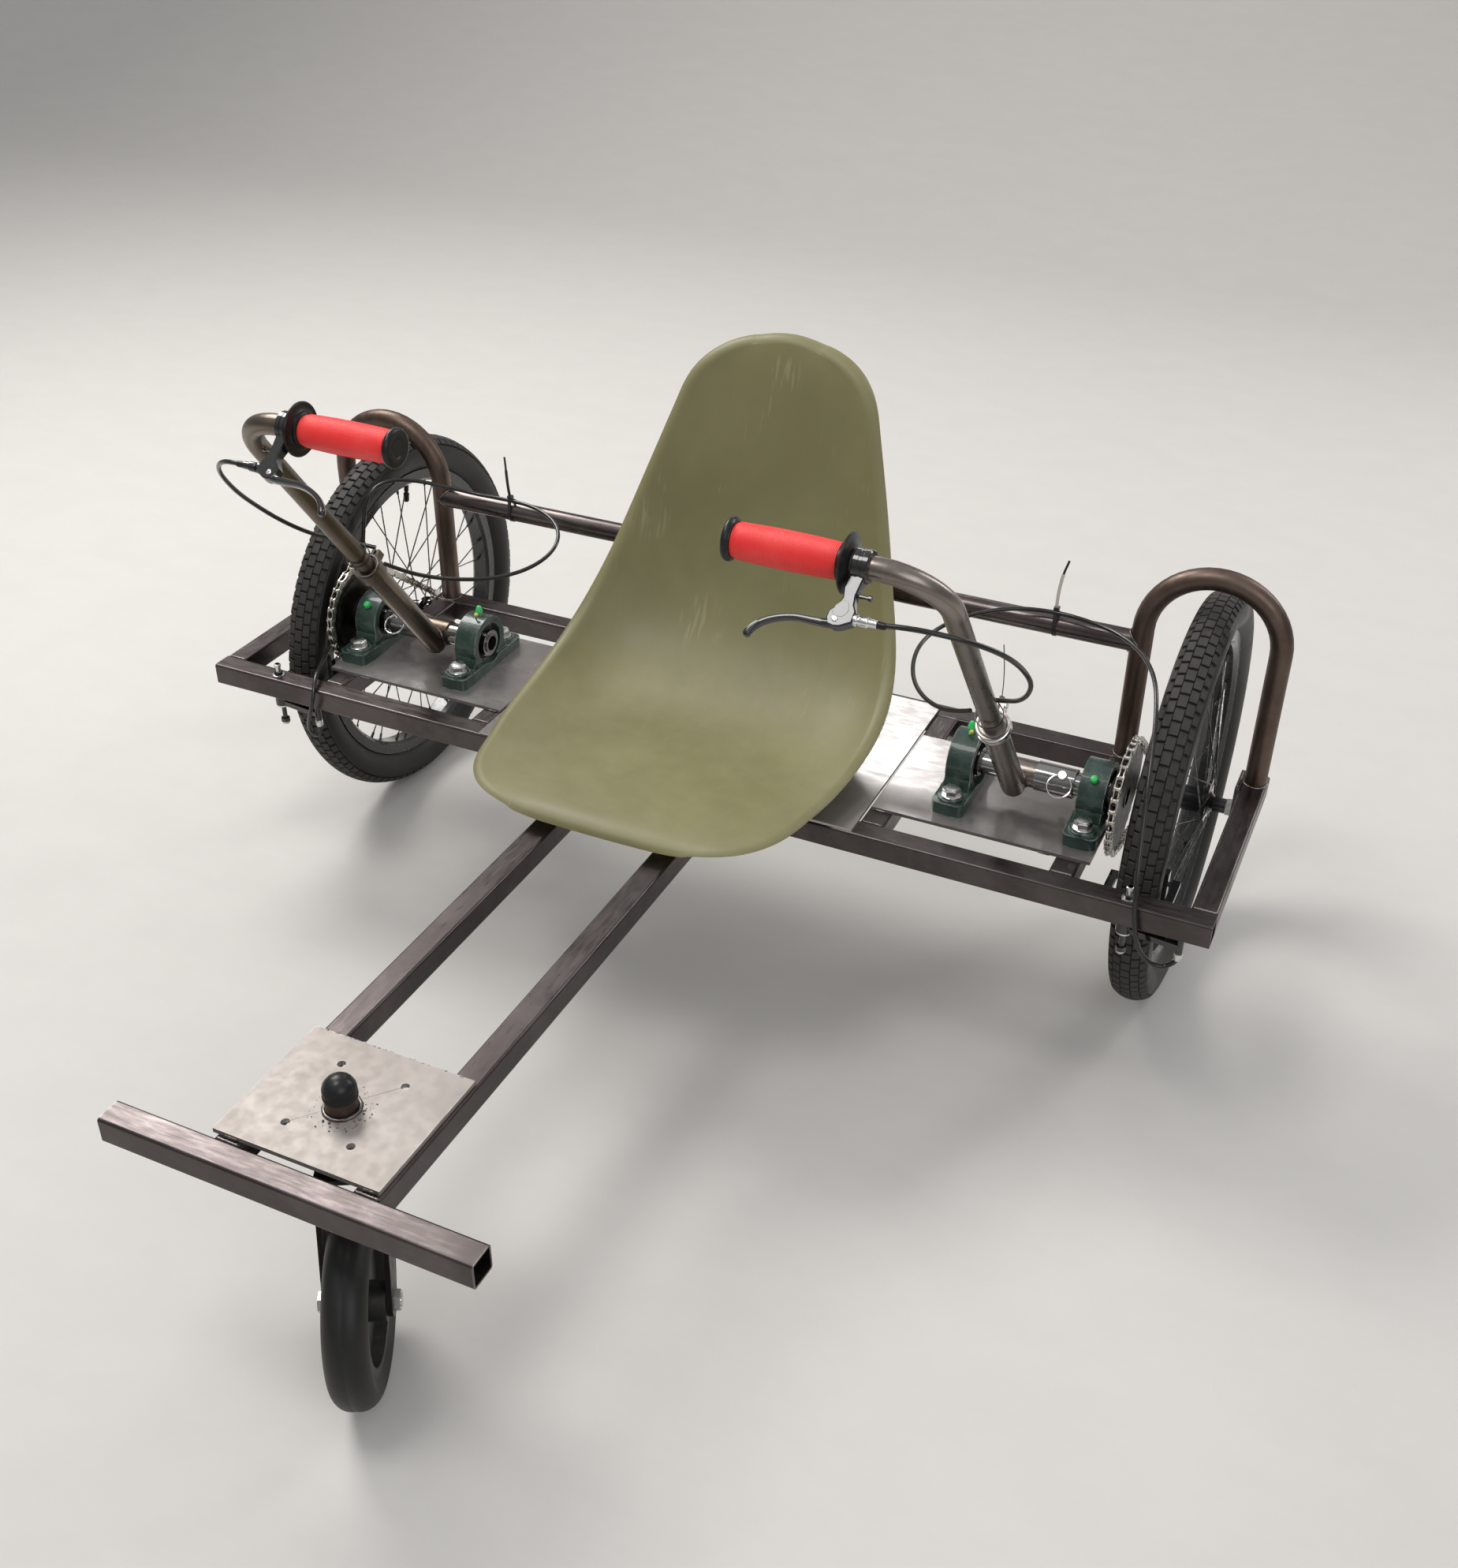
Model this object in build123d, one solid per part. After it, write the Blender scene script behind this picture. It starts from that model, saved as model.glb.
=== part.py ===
from build123d import *
import os
from math import acos, asin, atan2, cos, degrees, hypot, pi, radians, sin, sqrt, tan

# Lever-driven hand trike, built in mm. Ground is z = 0, the middle plane is x = 0,
# the foot end points to -y and the driven wheels stand at the +y end.

# Frame
square_tube = 28.0
tube_wall = 2.0
tube_corner = 3.0
frame_top = 291.0
frame_front = 97.0
frame_depth = 313.0
side_tube_overhang = 6.0
inner_longitudinal_x = 256.5
outer_longitudinal_x = 474.0
rail_x = 73.5
rail_length = 677.0
foot_bar_length = 391.0

# Plates
seat_plate_half_width = 242.0
seat_plate_front_gap = 2.0
seat_plate_thickness = 3.0
seat_plate_rear_overhang = 3.0
bearing_plate_inner_overhang = 10.5
bearing_plate_outer_overhang = 24.0
bearing_plate_front_gap = 54.0
bearing_plate_depth = 172.0
bearing_plate_thickness = 4.0

# Driven wheels
wheel_radius = 250.0
tyre_width = 48.0
tyre_belly_share = 22 / 45
tyre_crown_half_width = 19.0
tyre_crown_drop = 6.5
rim_radius = 205.0
rim_depth = 17.0
rim_width = 29.0
rim_wall = 2.5
rim_well_depth = 6.0
rim_chamfer_width = 4.5
rim_chamfer_height = 4.0
tyre_seat_gap = 0.3
spoke_count = 36
spoke_radius = 0.9
spoke_circle_radius = 22.0
spoke_elbow_room = 1.5
spoke_lacing_angle = 60.0
spoke_rim_offset = 3.0
flange_radius = 27.0
flange_thickness = 3.0
flange_x = 28.0
hub_cone_length = 6.0
wheel_spacer = 8.0
hub_barrel_radius = 15.0
hub_end_radius = 9.0
hub_end_length = 3.0
freewheel_radius = 17.0
freewheel_width = 14.0
axle_radius = 5.0
running_clearance = 0.05
assembly_clearance = 0.3
axle_nut_across = 17.0
axle_nut_thickness = 8.0
axle_end_length = 4.0
bracket_thickness = 5.0
bracket_width = 44.0

# Hoops and the upper cross tube
round_tube_radius = 12.7
round_tube_wall = 2.0
hoop_bend_radius = 77.0
hoop_top = 547.7
cross_tube_height = 440.0
cope_clearance = 0.2
overcut = 1.0

# Crank shafts in pillow blocks
shaft_y = 239.0
shaft_radius = 12.7
shaft_wall = 3.0
shaft_inner_x = 308.0
shaft_outer_reach = 1.5
pillow_height = 36.5
pillow_length = 140.0
pillow_base_width = 38.0
pillow_foot_height = 15.0
pillow_foot_corner = 8.0
pillow_neck_width = 88.0
pillow_neck_angle = 70.0
pillow_bolt_boss_radius = 15.0
pillow_bolt_boss_rise = 2.5
pillow_bolt_spacing = 105.0
pillow_bolt_radius = 6.5
pillow_slot_length = 19.0
pillow_ring_radius = 35.0
pillow_ring_width = 30.0
pillow_inner_x = 327.0
pillow_side_gap = 0.5
bearing_radius = 26.0
bearing_race_width = 17.0
bearing_inner_width = 34.0
bearing_inner_radius = 16.8
bearing_seal_radius = 22.0
bearing_seal_width = 13.0

# Chain drive
chain_pitch = 12.7
chain_links = 52
chainwheel_teeth = 32
wheel_sprocket_teeth = 16
sprocket_thickness = 3.0
sprocket_inset = 5.0
chain_inner_gap = 3.9
chain_plate_thickness = 1.1
chain_inner_height = 7.2
chain_outer_height = 8.6
chain_outer_length = 20.5
chain_pin_radius = 2.0
chain_pin_side_count = 4
tooth_gap = 0.7
tooth_seat_radius = 5.2
chainwheel_boss_radius = 21.0
chainwheel_boss_length = 12.0
chainwheel_ring_outer = 52.0
chainwheel_ring_inner = 46.0
chainwheel_ring_rise = 1.5

# Hand levers: x places, and heights and offsets measured from the crank shaft with the lever upright
lever_x = 386.0
lever_offset = 17.0
lever_tube_radius = 14.0
lever_tube_bore = 11.2
lever_bore_start = 100.0
lever_foot_depth = 1.0
lever_sleeve_inner_x = 370.0
lever_sleeve_length = 39.0
lever_sleeve_radius = 15.5
handle_radius = 11.1
handle_wall = 2.0
handle_height = 514.0
handle_bend_radius = 62.0
handle_socket_height = 110.0
handle_inner_x = 186.0
collar_length = 18.0
collar_wall = 3.5
collar_ear_length = 8.0
collar_ear_width = 12.0
collar_ear_thickness = 3.5
collar_slit = 3.0
coupler_radius = 17.0
coupler_length = 44.0
coupler_gap = 0.3
coupler_pin_x = 440.0
coupler_pin_radius = 4.0
coupler_pin_head_radius = 5.5
coupler_pin_head_height = 5.0
coupler_pin_tail = 4.0
key_ring_radius = 13.5
key_ring_wire = 1.2
grip_inner_x = 182.0
grip_cap_length = 8.0
grip_cap_radius = 20.5
grip_end_bevel = 2.0
grip_outer_x = 297.0
grip_radius = 16.2
grip_belly = 1.2
grip_flange_radius = 28.0
grip_flange_thickness = 6.0

# Brake levers, on the same upright lever axes
brake_clamp_x = 313.0
brake_clamp_width = 15.0
brake_clamp_radius = 15.5
brake_body_thickness = 12.0
brake_adjuster_start_x = 321.0
brake_adjuster_end_x = 342.5
brake_adjuster_offset = 68.0
brake_adjuster_radius = 4.0

# Caster
caster_x = -4.0
caster_plate_width = 176.0
caster_plate_depth = 150.0
caster_plate_thickness = 5.0
caster_plate_gap = 4.0
caster_hole_radius = 4.2
caster_hole_spacing_x = 70.0
caster_hole_spacing_y = 83.0
stem_setback = 5.5
stem_radius = 15.0
stem_bore = 11.1
stem_height = 19.0
stem_drop = 30.0
cap_radius = 16.2
cap_skirt = 8.0
cap_height = 41.0
cap_shoulder = 27.0
fork_swivel = 28.0
fork_trail = 47.5
fork_thickness = 5.0
fork_leg_gap = 54.0
fork_foot_radius = 15.0
fork_front_slope = 0.7
fork_rear_reach = 0.9
fork_rear_rise = 0.4
fork_crown_length = 46.0
fork_collar_radius = 16.0
fork_collar_height = 4.7
steerer_radius = 11.0
steerer_headroom = 5.0
caster_radius = 97.0
caster_width = 42.0
caster_tyre_corner = 14.0
caster_tyre_shoulder_share = 0.72
caster_tyre_shoulder_drop = 0.28
caster_rim_radius = 68.0
caster_rim_width = 34.0
caster_rim_thickness = 8.0
caster_web_thickness = 12.0
caster_hub_radius = 19.0
caster_hub_gap = 1.0
caster_axle_radius = 6.0
caster_axle_head = 7.0
caster_axle_across = 18.0
caster_axle_tip = 1.0

# Seat shell
shell_thickness = 4.5
shell_roll_radius = 9.0
shell_roll_angle = 110.0
shell_flat_share = 0.62
shell_flat_rise = 0.18
seat_lift = 8.0
seat_back_gap = 2.86
seat_spacer_radius = 12.0
seat_spacer_x = 80.0
seat_spacer_front_y = 140.0
seat_spacer_spacing = 110.0

# Rim brakes on the front tube
brake_pivot_radius = 3.0
brake_hole_clearance = 0.2
brake_arm_width = 9.0
brake_arm_thickness = 6.5
brake_arm_gap = 0.6
brake_arm_offset = 34.0
brake_arm_shoulder = 30.0
brake_tail_length = 61.0
brake_pad_gap = 5.0
brake_pad_thickness = 6.5
brake_pad_depth = 12.0
brake_pad_length = 50.0
brake_pad_radius = 197.0
brake_nut_across = 10.0
brake_nut_thickness = 5.0
brake_bolt_rise = 16.0
brake_bolt_drop = 44.0
brake_lower_nut_rise = 4.0
brake_tail_spread = 7.0
brake_short_tail_share = 0.7
brake_adjuster_barrel_radius = 4.0
brake_adjuster_barrel_drop = 14.0

# Brake cables
cable_radius = 2.5
cable_bend_share = 0.45

# Worked out from the sizes above
frame_bottom = frame_top - square_tube
front_tube_y = frame_front + square_tube / 2
rear_tube_y = frame_front + frame_depth - square_tube / 2
hoop_inner_x = outer_longitudinal_x
hoop_outer_x = outer_longitudinal_x + 2 * hoop_bend_radius
side_tube_x = hoop_outer_x
frame_half_width = side_tube_x + square_tube / 2
wheel_x = outer_longitudinal_x + hoop_bend_radius
hub_half_length = hoop_bend_radius - square_tube / 2 - bracket_thickness - wheel_spacer
chain_x = wheel_x - hub_half_length + hub_end_length + sprocket_inset
chainwheel_boss_start = chain_x - sprocket_thickness / 2 - chainwheel_boss_length
pillow_outer_x = chainwheel_boss_start - pillow_side_gap - bearing_inner_width / 2
bearing_plate_inner_x = inner_longitudinal_x - bearing_plate_inner_overhang
bearing_plate_outer_x = outer_longitudinal_x + bearing_plate_outer_overhang
foot_bar_y = frame_front - rail_length - square_tube / 2
inner_bracket_x = outer_longitudinal_x + square_tube / 2
outer_bracket_x = side_tube_x - square_tube / 2 - bracket_thickness
axle_y = rear_tube_y
axle_z = wheel_radius
bearing_plate_top = frame_top + bearing_plate_thickness
shaft_z = bearing_plate_top + pillow_height
shaft_outer_x = chain_x + sprocket_thickness / 2 + shaft_outer_reach
caster_plate_top = frame_top + caster_plate_thickness
caster_plate_y = foot_bar_y + square_tube / 2 + caster_plate_gap + caster_plate_depth / 2
stem_y = caster_plate_y - stem_setback
stem_top = caster_plate_top + stem_height
stem_bottom = frame_bottom - stem_drop
fork_crown_top = stem_bottom - coupler_gap - fork_collar_height
seat_base = frame_top + seat_plate_thickness + seat_lift


def square_profile():
    bore = square_tube - 2 * tube_wall
    outer = RectangleRounded(square_tube, square_tube, tube_corner)
    return outer - RectangleRounded(bore, bore, tube_corner - tube_wall)


def tube_along_x(x0, x1, y):
    plane = Plane(origin=(x0, y, frame_top - square_tube / 2), x_dir=(0, 1, 0), z_dir=(1, 0, 0))
    return extrude(plane * square_profile(), x1 - x0)


def tube_along_y(x, y0, y1):
    plane = Plane(origin=(x, y0, frame_top - square_tube / 2), x_dir=(1, 0, 0), z_dir=(0, 1, 0))
    return extrude(plane * square_profile(), y1 - y0)


def box_between(low, high):
    size = [b - a for a, b in zip(low, high)]
    middle = [(a + b) / 2 for a, b in zip(low, high)]
    return Pos(*middle) * Box(*size)


def side_plane(x):
    """A sketch plane facing +x whose two axes are y and z."""
    return Plane(origin=(x, 0, 0), x_dir=(0, 1, 0), z_dir=(1, 0, 0))


def level_plane(z):
    return Plane(origin=(0, 0, z))


def cylinder_along_x(x0, x1, y, z, radius):
    return extrude(side_plane(x0) * Pos(y, z) * Circle(radius), x1 - x0)


def cylinder_up(x, y, z0, z1, radius):
    return extrude(level_plane(z0) * Pos(x, y) * Circle(radius), z1 - z0)


def rod(start, end, radius, faces=0):
    run = Vector(*end) - Vector(*start)
    section = RegularPolygon(radius, faces) if faces else Circle(radius)
    return extrude(Plane(origin=start, z_dir=run) * section, run.length)


def nut_along_x(x0, x1, y, z, across):
    return extrude(side_plane(x0) * Pos(y, z) * RegularPolygon(across / 2, 6, major_radius=False), x1 - x0)


def nut_up(x, y, z0, z1, across):
    return extrude(level_plane(z0) * Pos(x, y) * RegularPolygon(across / 2, 6, major_radius=False), z1 - z0)


def turned(outline, x, y, z):
    """A solid turned about an axis along x from an outline of (offset along x, radius)."""
    return Pos(x, y, z) * revolve(make_face(outline), Axis.X)


def turned_points(points, x, y, z):
    return turned(Polyline(*points, close=True), x, y, z)


def gather(pieces):
    return Compound([solid for piece in pieces for solid in piece.solids()])


def on_side(piece, sign):
    return piece if sign > 0 else mirror(piece, about=Plane.YZ)


def both_sides(piece):
    return gather([piece, on_side(piece, -1)])


# Frame tubes

def make_front_tube():
    tube = tube_along_x(-frame_half_width, frame_half_width, front_tube_y)
    for x in (wheel_x, -wheel_x):
        tube -= cylinder_up(x, front_tube_y, frame_bottom - overcut, frame_top + overcut,
                            brake_pivot_radius + brake_hole_clearance)
    return tube


def make_rear_tube():
    return tube_along_x(-inner_bracket_x, inner_bracket_x, rear_tube_y)


def make_side_tubes():
    end = rear_tube_y + square_tube / 2 + side_tube_overhang
    return both_sides(tube_along_y(side_tube_x, frame_front + square_tube, end))


def make_longitudinals():
    start = frame_front + square_tube
    end = rear_tube_y - square_tube / 2
    places = (inner_longitudinal_x, outer_longitudinal_x)
    return gather([both_sides(tube_along_y(x, start, end)) for x in places])


def make_seat_bearers():
    return both_sides(tube_along_y(rail_x, frame_front + square_tube, rear_tube_y - square_tube / 2))


def make_rails():
    return both_sides(tube_along_y(rail_x, foot_bar_y + square_tube / 2, frame_front))


def make_foot_bar():
    return tube_along_x(-foot_bar_length / 2, foot_bar_length / 2, foot_bar_y)


# Plates

def make_seat_plate():
    low = (-seat_plate_half_width, frame_front + seat_plate_front_gap, frame_top)
    high = (seat_plate_half_width, rear_tube_y + seat_plate_rear_overhang, frame_top + seat_plate_thickness)
    return box_between(low, high)


def pillow_bolt_places(x):
    return [(x, shaft_y + end * pillow_bolt_spacing / 2) for end in (1, -1)]


def make_bearing_plates():
    y0 = frame_front + bearing_plate_front_gap
    low = (bearing_plate_inner_x, y0, frame_top)
    high = (bearing_plate_outer_x, y0 + bearing_plate_depth, bearing_plate_top)
    plate = box_between(low, high)
    for x, y in pillow_bolt_places(pillow_inner_x) + pillow_bolt_places(pillow_outer_x):
        plate -= cylinder_up(x, y, frame_top - overcut, bearing_plate_top + overcut, pillow_bolt_radius)
    return both_sides(plate)


def make_caster_plate():
    low = (caster_x - caster_plate_width / 2, caster_plate_y - caster_plate_depth / 2, frame_top)
    high = (caster_x + caster_plate_width / 2, caster_plate_y + caster_plate_depth / 2, caster_plate_top)
    plate = box_between(low, high)
    for sx in (1, -1):
        for sy in (1, -1):
            x = caster_x + sx * caster_hole_spacing_x / 2
            y = caster_plate_y + sy * caster_hole_spacing_y / 2
            plate -= cylinder_up(x, y, frame_top - overcut, caster_plate_top + overcut, caster_hole_radius)
    return plate - cylinder_up(caster_x, stem_y, frame_top - overcut, caster_plate_top + overcut, stem_radius)


# Hoops, cross tube, axle brackets and wheel axles

def make_hoops():
    spring_z = hoop_top - round_tube_radius - hoop_bend_radius
    inner_foot = (hoop_inner_x, rear_tube_y, frame_top)
    inner_spring = (hoop_inner_x, rear_tube_y, spring_z)
    crown = ((hoop_inner_x + hoop_outer_x) / 2, rear_tube_y, spring_z + hoop_bend_radius)
    outer_spring = (hoop_outer_x, rear_tube_y, spring_z)
    outer_foot = (hoop_outer_x, rear_tube_y, frame_top)
    path = Wire([
        Edge.make_line(inner_foot, inner_spring),
        Edge.make_three_point_arc(inner_spring, crown, outer_spring),
        Edge.make_line(outer_spring, outer_foot),
    ])
    foot = Plane(origin=inner_foot, z_dir=(0, 0, 1))
    outer = sweep(foot * Circle(round_tube_radius), path)
    return both_sides(outer - sweep(foot * Circle(round_tube_radius - round_tube_wall), path))


def make_cross_tube():
    bore = round_tube_radius - round_tube_wall
    tube = cylinder_along_x(-hoop_inner_x, hoop_inner_x, rear_tube_y, cross_tube_height, round_tube_radius)
    cut_end = hoop_inner_x + overcut
    tube -= cylinder_along_x(-cut_end, cut_end, rear_tube_y, cross_tube_height, bore)
    for x in (hoop_inner_x, -hoop_inner_x):
        low = cross_tube_height - 2 * round_tube_radius
        high = cross_tube_height + 2 * round_tube_radius
        tube -= cylinder_up(x, rear_tube_y, low, high, round_tube_radius + cope_clearance)
    return tube


def bracket_plate(x0):
    """A plate welded to the side of a tube, rounded about the axle below it."""
    upper = Pos(axle_y, (frame_top + axle_z) / 2) * Rectangle(bracket_width, frame_top - axle_z)
    lower = Pos(axle_y, axle_z) * Circle(bracket_width / 2)
    hole = Pos(axle_y, axle_z) * Circle(axle_radius + running_clearance)
    return extrude(side_plane(x0) * (upper + lower - hole), bracket_thickness)


def make_axle_brackets():
    return gather([both_sides(bracket_plate(x0)) for x0 in (inner_bracket_x, outer_bracket_x)])


def make_wheel_axles():
    inner_end = inner_bracket_x - axle_nut_thickness
    outer_start = outer_bracket_x + bracket_thickness
    outer_end = outer_start + axle_nut_thickness
    axle = cylinder_along_x(inner_end - axle_end_length, outer_end + axle_end_length, axle_y, axle_z,
                            axle_radius)
    hub_inner = wheel_x - hub_half_length - assembly_clearance
    hub_outer = wheel_x + hub_half_length + assembly_clearance
    nut_places = (
        (inner_end, inner_bracket_x),
        (inner_bracket_x + bracket_thickness, hub_inner),
        (hub_outer, outer_bracket_x),
        (outer_start, outer_end),
    )
    for start, end in nut_places:
        axle += nut_along_x(start, end, axle_y, axle_z, axle_nut_across)
    return both_sides(axle)


# Pillow blocks and their bearings

def pillow_block(x):
    foot = level_plane(bearing_plate_top) * Pos(x, shaft_y) * RectangleRounded(
        pillow_base_width, pillow_length, pillow_foot_corner)
    base = extrude(foot, pillow_foot_height)
    ring = Pos(shaft_y, shaft_z) * Circle(pillow_ring_radius)
    neck = Pos(shaft_y, bearing_plate_top + pillow_height / 2) * Trapezoid(
        pillow_neck_width, pillow_height, pillow_neck_angle)
    block = extrude(side_plane(x - pillow_ring_width / 2) * (ring + neck), pillow_ring_width)
    block += base
    for bolt_x, bolt_y in pillow_bolt_places(x):
        boss_top = bearing_plate_top + pillow_foot_height + pillow_bolt_boss_rise
        block += cylinder_up(bolt_x, bolt_y, bearing_plate_top, boss_top, pillow_bolt_boss_radius)
    block -= cylinder_along_x(x - pillow_base_width, x + pillow_base_width, shaft_y, shaft_z, bearing_radius)
    for bolt_x, bolt_y in pillow_bolt_places(x):
        slot = SlotOverall(pillow_slot_length, 2 * pillow_bolt_radius, rotation=90)
        block -= extrude(level_plane(bearing_plate_top) * Pos(bolt_x, bolt_y) * slot,
                         pillow_foot_height + pillow_bolt_boss_rise)
    return block


def make_pillow_blocks():
    return gather([both_sides(pillow_block(x)) for x in (pillow_inner_x, pillow_outer_x)])


def bearing_insert(x):
    bore = shaft_radius + running_clearance
    inner = bearing_inner_width / 2
    seal = bearing_seal_width / 2
    race = bearing_race_width / 2
    outline = [(-inner, bore), (inner, bore), (inner, bearing_inner_radius), (seal, bearing_inner_radius),
               (seal, bearing_seal_radius), (race, bearing_seal_radius), (race, bearing_radius),
               (-race, bearing_radius), (-race, bearing_seal_radius), (-seal, bearing_seal_radius),
               (-seal, bearing_inner_radius), (-inner, bearing_inner_radius)]
    return turned_points(outline, x, shaft_y, shaft_z)


def make_bearing_inserts():
    return gather([both_sides(bearing_insert(x)) for x in (pillow_inner_x, pillow_outer_x)])


# Chain drive

def pitch_radius(teeth):
    return chain_pitch / (2 * sin(pi / teeth))


def toothed_disc(teeth, x, y, z):
    """A sprocket whose short teeth pass under the pins of the chain at any angle."""
    pitch = pitch_radius(teeth)
    disc = Circle(pitch - chain_pin_radius - tooth_gap)
    step = 360 / teeth
    disc -= [Rot(0, 0, k * step) * Pos(pitch, 0) * Circle(tooth_seat_radius) for k in range(teeth)]
    return extrude(side_plane(x - sprocket_thickness / 2) * Pos(y, z) * disc, sprocket_thickness)


def chain_stretches():
    """Pitch radii, lean of the centre line, tangent spread and straight length of the chain's loop."""
    big = pitch_radius(chainwheel_teeth)
    small = pitch_radius(wheel_sprocket_teeth)
    apart = hypot(axle_y - shaft_y, axle_z - shaft_z)
    lean = atan2(axle_z - shaft_z, axle_y - shaft_y)
    return big, small, lean, acos((big - small) / apart), sqrt(apart ** 2 - (big - small) ** 2)


def chain_length():
    big, small, _, spread, straight = chain_stretches()
    return 2 * straight + 2 * spread * small + 2 * (pi - spread) * big


def chain_point(travel):
    """Point in (y, z) and heading, travel mm along the pitch line from the top of the chainwheel."""
    big, small, lean, spread, straight = chain_stretches()
    big_circle = (shaft_y, shaft_z, big)
    small_circle = (axle_y, axle_z, small)
    # Each stretch leaves a circle at an angle and is straight or bends about it
    stretches = (
        (straight, big_circle, lean + spread, False),
        (2 * spread * small, small_circle, lean + spread, True),
        (straight, small_circle, lean - spread, False),
        (2 * (pi - spread) * big, big_circle, lean - spread, True),
    )
    for length, (y, z, radius), angle, bends in stretches:
        if travel <= length:
            break
        travel -= length
    if bends:
        angle -= travel / radius
        travel = 0
    heading = angle - pi / 2
    point = (y + radius * cos(angle) + travel * cos(heading), z + radius * sin(angle) + travel * sin(heading))
    return point, heading


def beside(point, heading, along, across):
    y = point[0] + along * cos(heading) - across * sin(heading)
    z = point[1] + along * sin(heading) + across * cos(heading)
    return y, z


def make_chain():
    step = chain_length() / chain_links
    pins = [chain_point(k * step) for k in range(chain_links)]
    outer_ring = Polyline(*[beside(*pin, 0, chain_inner_height / 2) for pin in pins], close=True)
    inner_ring = Polyline(*[beside(*pin, 0, -chain_inner_height / 2) for pin in pins], close=True)
    strip = make_face(outer_ring) - make_face(inner_ring)
    plates = []
    for k in range(0, chain_links, 2):
        (y0, z0), _ = pins[k]
        (y1, z1), _ = pins[(k + 1) % chain_links]
        middle = ((y0 + y1) / 2, (z0 + z1) / 2)
        turn = degrees(atan2(z1 - z0, y1 - y0))
        plates.append(Pos(*middle) * Rot(0, 0, turn) * Rectangle(chain_outer_length, chain_outer_height))
    inside = chain_inner_gap / 2
    strip_starts = (chain_x - inside - chain_plate_thickness, chain_x + inside)
    plate_starts = (chain_x - inside - 2 * chain_plate_thickness, chain_x + inside + chain_plate_thickness)
    solids = [extrude(side_plane(x) * strip, chain_plate_thickness) for x in strip_starts]
    solids += [extrude(side_plane(x) * plate, chain_plate_thickness) for x in plate_starts for plate in plates]
    for (y, z), heading in pins:
        pin = Pos(y, z) * Rot(0, 0, degrees(heading)) * RegularPolygon(chain_pin_radius, chain_pin_side_count)
        solids.append(extrude(side_plane(chain_x - inside) * pin, chain_inner_gap))
    return solids[0] + solids[1:]


# Driven wheels

def make_tyre():
    bead = rim_width / 2 - rim_wall - tyre_seat_gap
    base = rim_radius - rim_well_depth + tyre_seat_gap
    shoulder = wheel_radius - tyre_crown_drop
    belly = tyre_width / 2
    belly_radius = rim_radius + tyre_belly_share * (wheel_radius - rim_radius)
    edges = [
        Line((-bead, base), (bead, base)),
        Line((bead, base), (bead, rim_radius)),
        ThreePointArc((bead, rim_radius), (belly, belly_radius), (tyre_crown_half_width, shoulder)),
        ThreePointArc((tyre_crown_half_width, shoulder), (0, wheel_radius), (-tyre_crown_half_width, shoulder)),
        ThreePointArc((-tyre_crown_half_width, shoulder), (-belly, belly_radius), (-bead, rim_radius)),
        Line((-bead, rim_radius), (-bead, base)),
    ]
    return turned(Wire(edges), wheel_x, axle_y, axle_z)


def make_rim():
    lip = rim_width / 2
    seat = lip - rim_wall
    well = rim_radius - rim_well_depth
    inner = rim_radius - rim_depth
    bend = lip - rim_chamfer_width
    side = inner + rim_chamfer_height
    outline = [(-lip, rim_radius), (-lip, side), (-bend, inner), (bend, inner), (lip, side),
               (lip, rim_radius), (seat, rim_radius), (seat, well), (-seat, well), (-seat, rim_radius)]
    return turned_points(outline, wheel_x, axle_y, axle_z)


def make_spokes():
    end_radius = rim_radius - rim_depth - tyre_seat_gap
    per_flange = spoke_count // 2
    step = 360 / per_flange
    side_gap = flange_thickness / 2 + spoke_radius + assembly_clearance
    spokes = []
    for flange_sign in (1, -1):
        for k in range(per_flange):
            lean = 1 if k % 2 == 0 else -1
            hub_angle = radians(k * step + (step / 2 if flange_sign < 0 else 0))
            rim_angle = hub_angle + lean * radians(spoke_lacing_angle)
            gap = side_gap + (spoke_elbow_room if lean == flange_sign else 0)
            start_x = wheel_x + flange_sign * flange_x + lean * gap
            start = (start_x, axle_y + spoke_circle_radius * cos(hub_angle),
                     axle_z + spoke_circle_radius * sin(hub_angle))
            end = (wheel_x + flange_sign * spoke_rim_offset, axle_y + end_radius * cos(rim_angle),
                   axle_z + end_radius * sin(rim_angle))
            spokes.append(rod(start, end, spoke_radius, 6))
    return gather(spokes)


def make_hub():
    bore = axle_radius + running_clearance
    end = hub_half_length
    neck = end - hub_end_length
    freewheel_end = neck - freewheel_width
    flange_in = flange_x - flange_thickness / 2
    flange_out = flange_x + flange_thickness / 2
    outline = [(-end, bore), (end, bore), (end, hub_end_radius), (flange_out + hub_cone_length, hub_end_radius),
               (flange_out, hub_barrel_radius), (flange_out, flange_radius), (flange_in, flange_radius),
               (flange_in, hub_barrel_radius), (-flange_in, hub_barrel_radius), (-flange_in, flange_radius),
               (-flange_out, flange_radius), (-flange_out, hub_barrel_radius),
               (-freewheel_end, hub_barrel_radius), (-freewheel_end, freewheel_radius),
               (-neck, freewheel_radius), (-neck, hub_end_radius), (-end, hub_end_radius)]
    hub = turned_points(outline, wheel_x, axle_y, axle_z)
    sprocket = toothed_disc(wheel_sprocket_teeth, chain_x, axle_y, axle_z)
    cut = sprocket_thickness / 2 + overcut
    sprocket -= cylinder_along_x(chain_x - cut, chain_x + cut, axle_y, axle_z, hub_barrel_radius)
    return hub + sprocket


# Hand levers, modelled upright and then tilted about the crank shaft

def upright(x, height, offset):
    return Vector(x, shaft_y - offset, shaft_z + height)


def tilted(piece, angle):
    return piece.rotate(Axis((0, shaft_y, shaft_z), (1, 0, 0)), angle)


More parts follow.
